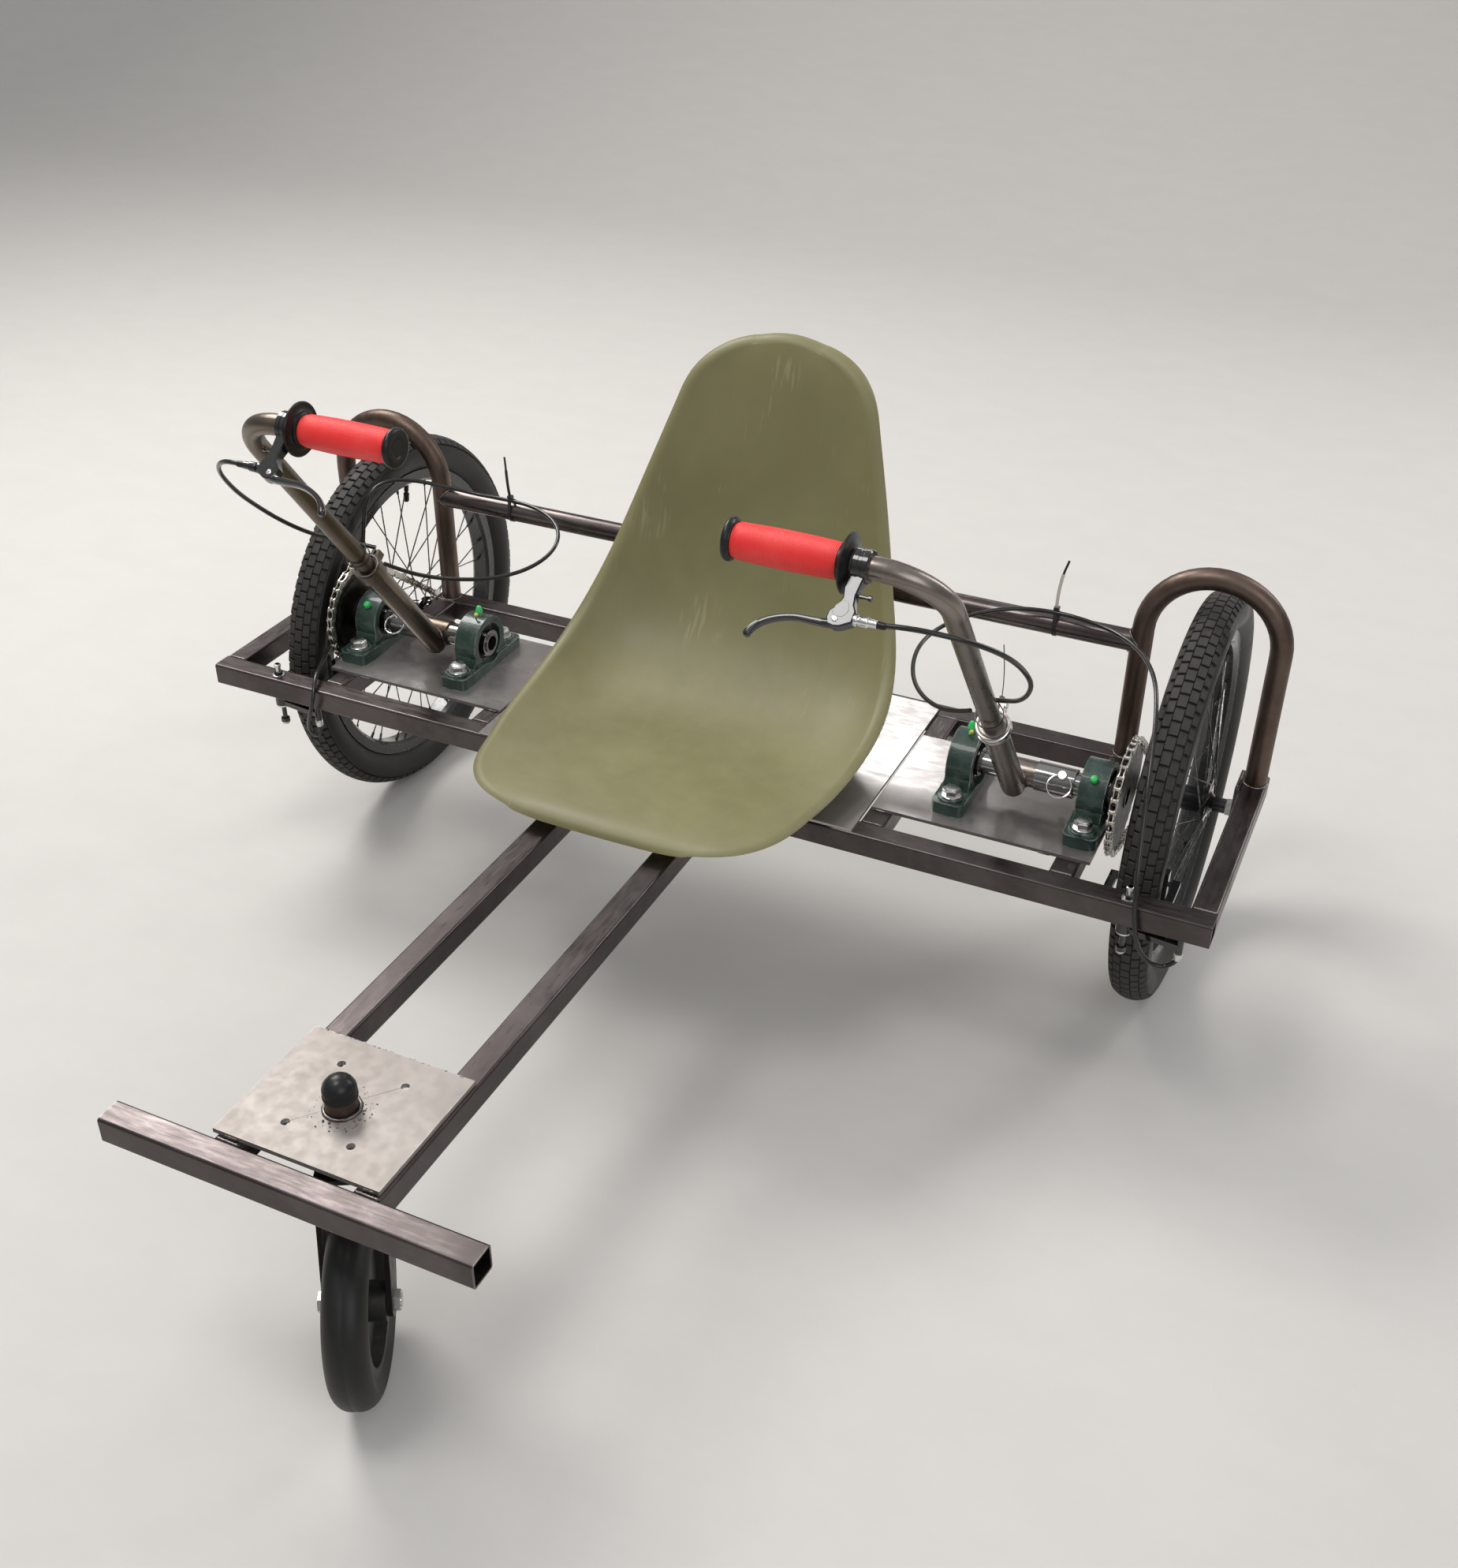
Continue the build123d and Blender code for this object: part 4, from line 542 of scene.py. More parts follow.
def addPrism(shape, outline, half, toPoint, bevel=0.6, paint=0):
    # toPoint turns (u, v, w) into a point; the outline lies in u and v, and w goes half each way
    outline = list(outline)
    small = insetOutline(outline, bevel)
    levels = ((small, -half), (outline, bevel - half), (outline, half - bevel), (small, half))
    rings = [[toPoint(u, v, w) for u, v in line] for line, w in levels]
    addRings(shape, rings, paint, capStart=True, capEnd=True)


def hullPath(first, firstRadius, second, secondRadius, count=18):
    # The path of a tight band round two circles of a plane
    gap = Vector(second) - Vector(first)
    lean = atan2(gap.y, gap.x)
    opening = acos((firstRadius - secondRadius) / gap.length)
    path = []
    for centre, radius, start, stop in ((first, firstRadius, lean + opening, lean + 2 * pi - opening),
                                        (second, secondRadius, lean - opening, lean + opening)):
        for k in range(count + 1):
            angle = start + (stop - start) * k / count
            path.append((centre[0] + radius * cos(angle), centre[1] + radius * sin(angle)))
    return path


def putIn(name, data, body, replaced):
    piece = newObject(name, data)
    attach(piece, body)
    if replaced:
        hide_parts(*replaced)


def buildPiece(name, shape, finishes, body, replaced=(), matrix=Matrix.Identity(4), smooth=38.0):
    mesh = bpy.data.meshes.new(name)
    mesh.from_pydata([matrix @ (p * mm) for p in shape["points"]], [], shape["faces"])
    for finish in finishes:
        mesh.materials.append(materials[finish])
    mesh.polygons.foreach_set("material_index", shape["paint"])
    mesh.validate()
    turned = bmesh.new()
    turned.from_mesh(mesh)
    bmesh.ops.recalc_face_normals(turned, faces=turned.faces)
    turned.to_mesh(mesh)
    turned.free()
    mesh.shade_smooth()
    mesh.set_sharp_from_angle(angle=radians(smooth))
    putIn(name, mesh, body, replaced)


def buildOnLever(side, name, shape, finishes, replaced, smooth):
    nodes = [side + "_" + node for node in replaced]
    buildPiece(side + name, shape, finishes, side + "_lever", nodes, leverMatrix(side), smooth)


# Brake cables, on the same points as the CAD's held cables; those of a lever as x, height and offset
leverCablePoints = {
    "left": (
        (343, 514, 68), (368, 514, 65), (395, 508, 62), (419, 494, 57.5),
        (439, 470, 51.5), (451, 437, 45), (455, 395, 39), (450.5, 352, 31),
        (439, 306, 24), (422, 262, 15), (403, 228, 5), (384, 208, 0),
        (365, 196, -1.5),
    ),
    "right": (
        (343, 514, 68), (357, 513.5, 67.5), (373, 508, 66), (389, 495, 64),
        (405, 472, 61), (419, 443, 56), (434, 398, 48), (442, 350, 38),
        (443, 302, 28), (434, 262, 18), (418, 237, 8), (398, 223, 1),
        (374, 216, -2),
    ),
}
frameCablePoints = {
    "left": (
        (362, 107, 474), (345, 117, 463), (320, 134, 452), (294, 158, 446),
        (271, 190, 445), (256, 230, 447), (251, 272, 449), (260, 314, 451),
        (286, 350, 456), (327, 378, 460), (374, 388, 460), (418, 379, 461),
        (458, 357, 464), (493, 318, 466), (517, 271, 464), (530, 228, 450),
        (539, 186, 425), (546, 150, 394), (553, 118, 355), (559, 94, 315),
        (564, 88, 278), (571, 90, 246), (585, 96, 226), (604, 102, 222),
        (612, 104, 235),
    ),
    "right": (
        (-365, 112, 486), (-354, 132, 470), (-339, 160, 453), (-319, 195, 438),
        (-295, 232, 428), (-271, 268, 428), (-257, 303, 435), (-257, 333, 446),
        (-277, 360, 455), (-317, 381, 459), (-362, 389, 458), (-408, 384, 459),
        (-448, 369, 469), (-479, 343, 482), (-498, 314, 490), (-509, 289, 484),
        (-514, 278, 462), (-517, 275, 434), (-519, 270, 404), (-519.5, 258, 374),
        (-519, 236, 344), (-518.5, 204, 319), (-517, 172, 306), (-506, 140, 302),
        (-491, 109, 303), (-480, 87, 287), (-487, 86, 264), (-498, 92, 243),
        (-503, 99, 224), (-490, 104, 218), (-490, 104, 235),
    ),
}
cableLook = {"radius": 2.5, "roundSteps": 5, "lengthSteps": 10}


def makeCable(name, points, body, replaced):
    curve = bpy.data.curves.new(name, "CURVE")
    curve.dimensions = "3D"
    curve.bevel_depth = cableLook["radius"] * mm
    curve.bevel_resolution = cableLook["roundSteps"]
    curve.use_fill_caps = True
    spline = curve.splines.new("NURBS")
    spline.points.add(len(points) - 1)
    for target, point in zip(spline.points, points):
        target.co = (*point, 1)
    spline.order_u = 3
    spline.use_endpoint_u = True
    spline.resolution_u = cableLook["lengthSteps"]
    curve.materials.append(materials["cableSkin"])
    putIn(name, curve, body, replaced)


for side, replaced in (("left", ["frame_cables"]), ("right", [])):
    makeCable(side + "FrameCable", [Vector(p) * mm for p in frameCablePoints[side]], "chassis", replaced)
for side in levers:
    points = [leverMatrix(side) @ Vector((x * mm, -y * mm, z * mm)) for x, z, y in leverCablePoints[side]]
    makeCable(side + "LeverCable", points, side + "_lever", [side + "_lever_cable"])
print("cables laid")

# Finishes of the CAD nodes; those of a side have its name before them
nodeFinishes = {
    "front_tube": "millSteelAcross", "rear_tube": "millSteelAcross", "foot_bar": "millSteelAcross",
    "side_tubes": "millSteelAlong", "longitudinals": "millSteelAlong", "seat_bearers": "millSteelAlong",
    "rails": "millSteelAlong", "seat_plate": "plateSteel", "bearing_plates": "plateSteel",
    "caster_plate": "casterPlate", "caster_stem": "hoopSteel", "stem_cap": "blackPlastic",
    "hoops": "hoopSteel", "cross_tube": "crossSteel", "axle_brackets": "millSteelAlong",
    "wheel_axles": "zincBolt",
    "pillow_blocks": "greenCasting", "bearing_inserts": "bearingSteel", "chains": "nickelChain",
    "brake_calipers": "darkAlloy", "frame_cables": "cableSkin", "seat_shell": "oliveShell",
    "seat_spacers": "blackRubber", "caster_fork": "blackSteel", "caster_axle": "zincBolt",
    "caster_tyre": "tyreSide", "caster_hub": "blackPlastic",
}
sideFinishes = {
    "tyre": "tyreRubber", "rim": "rimAlloy", "spokes": "spokeSteel", "hub": "darkAlloy",
    "lever_tube": "leverSteel", "handle_tube": "leverSteel", "grip": "redGrip", "grip_ends": "blackRubber",
    "brake_lever": "darkAlloy", "crank_shaft": "groundSteel", "chainwheel": "sprocketSteel",
    "coupler": "groundSteel", "coupler_pin": "zincBolt", "lever_cable": "cableSkin",
}
for side in levers:
    nodeFinishes.update({side + "_" + name: finish for name, finish in sideFinishes.items()})
# The right lever's tube and handle take the darker copy of the lever steel
nodeFinishes.update({"right_lever_tube": "darkerLeverSteel", "right_handle_tube": "darkerLeverSteel"})
edgeRounds = {"pillow_blocks": 1.2, "bearing_plates": 0.5, "seat_plate": 0.4, "caster_plate": 0.6,
              "axle_brackets": 0.5, "brake_calipers": 0.5, "caster_fork": 0.6, "left_chainwheel": 0.3,
              "right_chainwheel": 0.3, "stem_cap": 0.5, "bearing_inserts": 0.3}
for name, finish in nodeFinishes.items():
    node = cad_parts[name]
    node.data.materials.clear()
    node.data.materials.append(materials[finish])
    if name in edgeRounds:
        rounding = node.modifiers.new("edgeRound", "BEVEL")
        rounding.width, rounding.segments = edgeRounds[name] * mm, 2
        rounding.limit_method, rounding.angle_limit = "ANGLE", radians(40)
print("frame pieces finished:", len(nodeFinishes))

# Driven tyres: carcass and rows of square blocks
tyreLook = {"radius": 250.0, "belly": 227.0, "halfWidth": 24.0, "crownHalf": 19.0, "crownDrop": 6.5,
            "bead": 11.7, "rim": 205.0, "seat": 199.3, "grooveDepth": 3.0, "grooveReach": 27.0, "rows": 94,
            "blockShare": 0.83, "edgeRound": 0.5}
treadColumns = (
    # middle and half width in mm round the section, shift by a share of a row, share of the block's length
    (0.0, 5.4, 0.0, 1.0), (10.9, 4.7, 0.5, 1.0), (-10.9, 4.7, 0.5, 1.0), (20.6, 4.3, 0.0, 0.92),
    (-20.6, 4.3, 0.0, 0.92),
)


def arcThrough(a, b, c, count):
    # Points from a to c on the circle through b
    (ax, ay), (bx, by), (cx, cy) = a, b, c
    d = 2 * (ax * (by - cy) + bx * (cy - ay) + cx * (ay - by))
    aa, bb, cc = ax**2 + ay**2, bx**2 + by**2, cx**2 + cy**2
    x = (aa * (by - cy) + bb * (cy - ay) + cc * (ay - by)) / d
    y = (aa * (cx - bx) + bb * (ax - cx) + cc * (bx - ax)) / d
    radius = hypot(ax - x, ay - y)
    start, middle, end = (atan2(v - y, u - x) for u, v in (a, b, c))
    total = (middle - start + pi) % (2 * pi) - pi + ((end - middle + pi) % (2 * pi) - pi)
    angles = [start + total * k / count for k in range(count + 1)]
    return [(x + radius * cos(angle), y + radius * sin(angle)) for angle in angles]


def tyreSection():
    look = tyreLook
    shoulder = (look["crownHalf"], look["radius"] - look["crownDrop"])
    side = arcThrough((look["bead"], look["rim"]), (look["halfWidth"], look["belly"]), shoulder, 12)
    crown = arcThrough(shoulder, (0, look["radius"]), (-shoulder[0], shoulder[1]), 16)
    return side + crown[1:] + [(-x, r) for x, r in reversed(side[:-1])]


def alongSection(section, middle):
    # Point and outward normal at a distance round the section from its top
    lengths = [0.0]
    for a, b in zip(section, section[1:]):
        lengths.append(lengths[-1] + hypot(b[0] - a[0], b[1] - a[1]))
    target = lengths[-1] / 2 - middle
    for k in range(len(section) - 1):
        if lengths[k + 1] >= target:
            break
    (ax, ay), (bx, by) = section[k], section[k + 1]
    t = (target - lengths[k]) / (lengths[k + 1] - lengths[k])
    run = hypot(bx - ax, by - ay)
    return (ax + (bx - ax) * t, ay + (by - ay) * t), ((by - ay) / run, -(bx - ax) / run)


def makeTyre(side, sign):
    look = tyreLook
    section = tyreSection()
    shape = newShape()
    depth, edge = look["grooveDepth"], look["edgeRound"]
    carcass = []
    half = sum(hypot(b[0] - a[0], b[1] - a[1]) for a, b in zip(section, section[1:])) / 2
    travelled = 0.0
    for k, (x, r) in enumerate(section):
        if k:
            travelled += hypot(x - section[k - 1][0], r - section[k - 1][1])
        sink = depth * min(1.0, max(0.0, (look["grooveReach"] - abs(travelled - half)) / 3.0))
        _, normal = alongSection(section, half - travelled)
        carcass.append((x - normal[0] * sink, r - normal[1] * sink))
    outline = carcass + [(-look["bead"], look["seat"]), (look["bead"], look["seat"])]
    centre = (sign * place["wheelX"], place["axleY"], place["axleZ"])
    addTurned(shape, outline, centre, sideways, 120, 1, loop=True)
    step = 2 * pi / look["rows"]
    for middle, halfWidth, shift, share in treadColumns:
        for row in range(look["rows"]):
            rings = []
            for lift, inset in ((-0.3 - depth, -0.35), (-edge, 0.0), (0.0, edge)):
                ring = []
                for across, along in ((-1, -1), (0, -1), (1, -1), (1, 1), (0, 1), (-1, 1)):
                    (x, r), normal = alongSection(section, middle + across * (halfWidth - inset))
                    reach = step * look["blockShare"] * share / 2 - inset / look["radius"]
                    angle = (row + shift) * step + along * reach
                    x, r = x + normal[0] * lift, r + normal[1] * lift
                    ring.append((centre[0] + x, centre[1] + r * sin(angle), centre[2] + r * cos(angle)))
                rings.append(ring)
            addRings(shape, rings, 0, capEnd=True)
    buildPiece(side + "TreadedTyre", shape, ["tyreRubber", "tyreSide"], side + "_wheel",
               [side + "_tyre"], smooth=30)


for side, lever in levers.items():
    makeTyre(side, lever["sign"])
print("tyres made")

# Seat: the shell as one smooth moulding with a soft lip rolled all round its edge
seatLook = {"base": 302.0, "thickness": 4.0, "roll": 9.0, "flatShare": 0.62, "flatRise": 0.18,
            "stepsAlong": 8, "stepsFloor": 12, "stepsSide": 14, "softRoll": 13.0, "lipDrop": 48.0,
            "lipLeast": 20.0, "lipSteps": 10, "trimFront": 5}
seatCrown = {"rows": 34, "tall": 80.0, "narrows": 25.0, "least": 0.93, "drop": 5.6, "leans": 20.0,
             "curls": 3.0}
seatSections = (
    # centre line y and z, rim y and z, half width to the rim
    (-50, 4, -48, 7, 92), (-47.5, 9, -44, 12.5, 114), (-41, 13, -36, 17, 135),
    (-31, 15.5, -25.5, 19, 154), (-14, 16, -9, 19.5, 172), (36, 13, 32, 19, 194),
    (120, 5, 112, 23, 211), (205, 1, 190, 31, 214), (266, 10, 240, 42, 213),
    (320, 42, 284, 63, 207), (356, 90, 322, 100, 195), (383, 155, 350, 152, 177),
    (408, 232, 384, 229, 155), (431, 320, 417, 319, 126),
)


def seatRow(centreY, centreZ, up, rise, half):
    # One row across the shell: a nearly flat floor that turns up into its sides
    look = seatLook
    flat, flatRise = look["flatShare"] * half, look["flatRise"] * rise
    floorRadius = (flat ** 2 + flatRise ** 2) / (2 * flatRise)
    floorAngle = asin(flat / floorRadius)
    run, climb = half - flat, rise - flatRise
    sideRadius = (run ** 2 + climb ** 2) / (2 * (climb * cos(floorAngle) - run * sin(floorAngle)))
    sideX, sideZ = flat - sideRadius * sin(floorAngle), flatRise + sideRadius * cos(floorAngle)
    rimAngle = atan2(half - sideX, sideZ - rise)
    row = []
    for k in range(look["stepsFloor"]):
        angle = floorAngle * k / look["stepsFloor"]
        row.append((floorRadius * sin(angle), floorRadius * (1 - cos(angle))))
    for k in range(look["stepsSide"] + 1):
        angle = floorAngle + (rimAngle - floorAngle) * k / look["stepsSide"]
        row.append((sideX + sideRadius * sin(angle), sideZ - sideRadius * cos(angle)))
    whole = [(-x, height) for x, height in reversed(row[1:])] + row
    baseZ = look["base"] + centreZ
    return [Vector((x, centreY + height * up[0], baseZ + height * up[1])) for x, height in whole]


def fairPath(points, perSpan):
    # A uniform cubic spline near the points, through the first and last
    points = [points[0] * 2 - points[1]] + list(points) + [points[-1] * 2 - points[-2]]
    made = []
    for p0, p1, p2, p3 in zip(points, points[1:], points[2:], points[3:]):
        for step in range(perSpan):
            t = step / perSpan
            made.append((p0 * (1 - t) ** 3 + p1 * (3 * t ** 3 - 6 * t ** 2 + 4)
                         + p2 * (1 + 3 * t + 3 * t ** 2 - 3 * t ** 3) + p3 * t ** 3) / 6)
    made.append(points[-2])
    return made


def smoothRound(vectors, reach):
    # Each direction becomes the mean of those near it on a closed loop
    steps, count = range(-reach, reach + 1), len(vectors)
    return [sum((vectors[(k + step) % count] for step in steps), Vector()).normalized() for k in range(count)]


def seatGrid():
    look, crown = seatLook, seatCrown
    rows = [(Vector(row[:3]), Vector((*row[3:], 0))) for row in seatSections]
    firsts, seconds = (fairPath(column, look["stepsAlong"]) for column in zip(*rows))
    grid = []
    for (centreY, centreZ, rimY), (rimZ, half, _) in zip(firsts, seconds):
        rise = hypot(rimY - centreY, rimZ - centreZ)
        up = ((rimY - centreY) / rise, (rimZ - centreZ) / rise)
        # The softer lip starts further in, so that the outline stays
        softer = (look["softRoll"] - look["roll"]) * min(1.0, rise / 12.0)
        half, rise = half - softer * 1.8, rise - softer * 0.45
        grid.append(seatRow(centreY, centreZ, up, rise, half))
    for step in range(1, crown["rows"] + 1):
        # Above the last section the outline closes in one round crown
        share = sin(pi / 2 * step / crown["rows"])
        climb = crown["least"] * share
        across = (half - crown["narrows"] * climb) * sqrt(1 - climb ** 3)
        leaning = crown["leans"] * climb + crown["curls"] * climb ** 3
        flatter = rise * (across / half) ** 2
        row = seatRow(centreY + leaning, centreZ + crown["tall"] * climb, up, flatter, across)
        arch = crown["drop"] * share * share * (3 - 2 * share)
        for point in row:
            point.z += arch * (1 - (point.x / across) ** 2)
        grid.append(row)
    return grid[look["trimFront"]:]


def seatLips(spots, normals):
    # Rings of the lip outside the grid's edge, with their normals
    look, count = seatLook, len(spots)
    faced, outward = [], []
    for k, normal in enumerate(smoothRound(normals, 12)):
        ahead, behind = spots[(k + 3) % count] - spots[k], spots[k] - spots[k - 3]
        heading = (ahead.normalized() * behind.length + behind.normalized() * ahead.length).normalized()
        normal = (normal - heading * normal.dot(heading)).normalized()
        faced.append(normal)
        outward.append(heading.cross(normal))
    faced, outward = smoothRound(faced, 8), smoothRound(outward, 8)
    lips, lipNormals = [], []
    for step in range(1, look["lipSteps"] + 1):
        for spot, normal, out in zip(spots, faced, outward):
            sweep = max(look["lipLeast"], degrees(asin(max(-1, min(1, out.z)))) + look["lipDrop"])
            angle = radians(sweep) * step / look["lipSteps"]
            lips.append(spot + (out * sin(angle) - normal * (1 - cos(angle))) * look["softRoll"])
            lipNormals.append(normal * cos(angle) + out * sin(angle))
    return lips, lipNormals


def makeSeat():
    grid = seatGrid()
    width, lastRow, lastColumn = len(grid[0]), len(grid) - 1, len(grid[0]) - 1

    def normalAt(row, column):
        # In the front and crown corners the grid lies flat, so the normal comes from further in
        inset = max(0, min(8, max(row - lastRow + 14, 8 - row)))
        row, column = min(row, lastRow - 2), max(inset, min(lastColumn - inset, column))
        along = grid[min(row + 1, lastRow)][column] - grid[max(row - 1, 0)][column]
        across = grid[row][min(column + 1, lastColumn)] - grid[row][max(column - 1, 0)]
        return across.cross(along).normalized()

    top = [p for row in grid for p in row]
    normals = [normalAt(row, column) for row in range(lastRow + 1) for column in range(width)]
    edge = [column for column in range(lastColumn)] + [row * width + lastColumn for row in range(lastRow)]
    edge += [lastRow * width + column for column in range(lastColumn, 0, -1)]
    edge += [row * width for row in range(lastRow, 0, -1)]
    count, inside = len(edge), len(top)
    lips, lipNormals = seatLips([top[k] for k in edge], [normals[k] for k in edge])
    top, normals = top + lips, normals + lipNormals
    under = [p - n * seatLook["thickness"] for p, n in zip(top, normals)]

    corners = [row * width + column for row in range(lastRow) for column in range(lastColumn)]
    faces = [[k, k + 1, k + width + 1, k + width] for k in corners]
    rings = [inside + ring * count for ring in range(seatLook["lipSteps"])]
    loops = [edge] + [[first + k for k in range(count)] for first in rings]
    for inner, outer in zip(loops, loops[1:]):
        faces += [[inner[k], inner[(k + 1) % count], outer[(k + 1) % count], outer[k]] for k in range(count)]
    size, rim = len(top), loops[-1]
    below = [[size + k for k in face][::-1] for face in faces]
    closing = [[a, b, size + b, size + a] for a, b in zip(rim, rim[1:] + rim[:1])]
    shape = newShape()
    addFaces(shape, top + under, faces + below + closing)
    buildPiece("smoothSeat", shape, ["oliveShell"], "chassis", ["seat_shell"], smooth=60)


makeSeat()
print("seat made")

# Chains: rollers, inner and outer side plates and pin heads
chainLook = {"teeth": (32, 16), "pitch": 12.7, "links": 52, "x": 509.0, "rollerRadius": 2.6, "pinRadius": 1.7,
             "insideGap": 3.9, "plateThickness": 0.95, "plateHeight": 8.5, "waist": 6.4, "reach": 4.15}


def chainStations():
    # y and z of each pin round the loop
    look = chainLook
    big, small = (look["pitch"] / (2 * sin(pi / teeth)) for teeth in look["teeth"])
    shaft, axle = (place["shaftY"], place["shaftZ"]), (place["axleY"], place["axleZ"])
    apart = hypot(axle[0] - shaft[0], axle[1] - shaft[1])
    lean = atan2(axle[1] - shaft[1], axle[0] - shaft[0])
    opening = acos((big - small) / apart)
    straight = sqrt(apart ** 2 - (big - small) ** 2)
    stretches = (
        # length, centre and radius of the wheel it starts from, angle there, whether it bends
        (straight, shaft, big, lean + opening, False),
        (2 * opening * small, axle, small, lean + opening, True),
        (straight, axle, small, lean - opening, False),
        (2 * (pi - opening) * big, shaft, big, lean - opening, True),
    )
    total = sum(stretch[0] for stretch in stretches)
    stations = []
    for k in range(look["links"]):
        travel = total * k / look["links"]
        for length, (y, z), radius, angle, bends in stretches:
            if travel <= length:
                break
            travel -= length
        if bends:
            angle, travel = angle - travel / radius, 0
        heading = angle - pi / 2
        stations.append((y + radius * cos(angle) + travel * cos(heading),
                         z + radius * sin(angle) + travel * sin(heading)))
    return stations


def addChainPlate(shape, start, end, x0, x1):
    look = chainLook
    half = look["plateHeight"] / 2
    length = hypot(end[0] - start[0], end[1] - start[1])
    along = ((end[0] - start[0]) / length, (end[1] - start[1]) / length)
    outline = []
    for middle, base, waist in ((length, -pi / 2, look["waist"]), (0.0, pi / 2, -look["waist"])):
        angles = [base + pi * k / 6 for k in range(7)]
        outline += [(middle + half * cos(angle), half * sin(angle)) for angle in angles]
        outline.append((length / 2, waist / 2))
    rings = [[(x, start[0] + a * along[0] - b * along[1], start[1] + a * along[1] + b * along[0])
              for a, b in outline] for x in (x0, x1)]
    addRings(shape, rings, 0, capStart=True, capEnd=True)


def makeChains():
    look = chainLook
    shape = newShape()
    stations = chainStations()
    inner, thick, roller = look["insideGap"] / 2, look["plateThickness"], look["rollerRadius"]
    reach, head = look["reach"], look["pinRadius"]
    pin = [(-reach, head * 0.7), (-reach + 0.3, head), (reach - 0.3, head), (reach, head * 0.7)]
    for middle in (look["x"], -look["x"]):
        for k, station in enumerate(stations):
            after = stations[(k + 1) % len(stations)]
            base = inner + (thick + 0.1 if k % 2 == 0 else 0.0)
            for face in (1, -1):
                addChainPlate(shape, station, after, middle + face * base, middle + face * (base + thick))
            spot = (middle, *station)
            addTurned(shape, [(-inner, roller), (inner, roller)], spot, sides=14)
            addTurned(shape, pin, spot, sides=10, paint=1)
    finishes = ["nickelChain", "ringWire"]
    buildPiece("chainLinks", shape, finishes, "chassis", ["chains"], smooth=35)


makeChains()
print("chains made")

# Pillow blocks: bolts, washers, capped grease nipples, seals and set screws
blockLook = {"places": (327.0, 478.0), "boltReach": 52.5, "footTop": 312.5, "boltAcross": 18.0,
             "boltHeight": 7.5, "washerRadius": 12.0, "washerThickness": 2.2, "ringRadius": 35.0,
             "sealInner": 17.0, "sealOuter": 21.9, "screwAngles": (118, 238), "plugLean": 42}


def addNipple(shape, spot, axis):
    addHex(shape, spot, axis, 7.0, 3.0)
    axis = Vector(axis).normalized()
    top = Vector(spot) + axis * 2.6
    cap = [(0, 3.6), (0.8, 4.6), (4.0, 4.4), (6.2, 3.4), (8.4, 2.9), (9.4, 2.0), (9.8, 0.4)]
    addTurned(shape, cap, top, axis, 18, 2)
    strap = [top + axis * 1.0] + [top + Vector(p) for p in ((0, -7, -1.5), (2, -11, -1.0), (4, -12.5, 2.5))]
    addTube(shape, smoothPath(strap, 5), roundSection(0.9, 6), 2)
    addBall(shape, top + Vector((4.2, -12.8, 4.0)), 2.6, 12, 3)


def addFootBolt(shape, spot, turn):
    look = blockLook
    thick, wide, tall = look["washerThickness"], look["washerRadius"], look["boltHeight"]
    addTurned(shape, [(0, wide), (thick - 0.4, wide), (thick, wide - 0.5)], spot, upward, 28)
    addHex(shape, spot + Vector((0, 0, thick)), upward, look["boltAcross"], tall, turn=turn)
    crown = spot + Vector((0, 0, thick + tall - 0.2))
    addTurned(shape, [(0, 7.4), (0.6, 7.0), (0.9, 6.0)], crown, upward, 24)


def makeBlockFittings():
    look = blockLook
    shape = newShape()
    inner, outer, ring = look["sealInner"], look["sealOuter"], look["ringRadius"]
    screw = [(0, 2.6), (2.3, 2.6), (2.5, 2.2), (2.5, 1.5), (0.8, 1.4), (0.8, 0.1)]
    plug = [(0, 4.8), (2.6, 4.6), (4.2, 3.2), (4.6, 0.4)]
    seal = [(6.4, inner), (6.4, outer), (7.3, outer), (7.8, 20.6), (7.4, 19.2), (7.9, 18.0), (7.5, inner)]
    for sign in (1, -1):
        for index, x in enumerate(look["places"]):
            for end in (1, -1):
                spot = Vector((sign * x, place["shaftY"] + end * look["boltReach"], look["footTop"]))
                addFootBolt(shape, spot, 0.4 + end * sign * 0.7 + index)
            centre = Vector((sign * x, place["shaftY"], place["shaftZ"]))
            for face in (1, -1):
                outline = [(face * out, radius) for out, radius in seal]
                addTurned(shape, outline, centre, sideways, 48, 1, loop=True)
            for angle in (radians(degree) for degree in look["screwAngles"]):
                out = Vector((0, cos(angle), sin(angle)))
                for face in (1, -1):
                    addTurned(shape, screw, centre + Vector((face * 13.0, 0, 0)) + out * 15.0, out, 14)
            if index == 0:
                addNipple(shape, centre + Vector((0, 4, ring - 0.6)), (0, 0.1, 1))
            else:
                lean = radians(look["plugLean"])
                out = Vector((0, -sin(lean), cos(lean)))
                addHex(shape, centre + out * (ring - 0.5), out, 8.0, 3.0)
                addTurned(shape, plug, centre + out * (ring + 2.2), out, 18, 2)
    finishes = ["zincBolt", "sealBlack", "greenCap", "yellowMark"]
    buildPiece("blockFittings", shape, finishes, "chassis")


makeBlockFittings()
print("pillow block fittings made")

# Hand levers, modelled upright: grips, brake levers, split rings, clamp bands and ties
gripLook = {"height": 514.0, "offset": 17.0, "inner": 190.0, "outer": 297.0, "radius": 16.2, "belly": 1.2,
            "bore": 11.2, "seamAngles": (205, 25), "capInner": 182.0, "capRadius": 20.5, "flangeRadius": 28.0,
            "flangeOuter": 303.0}


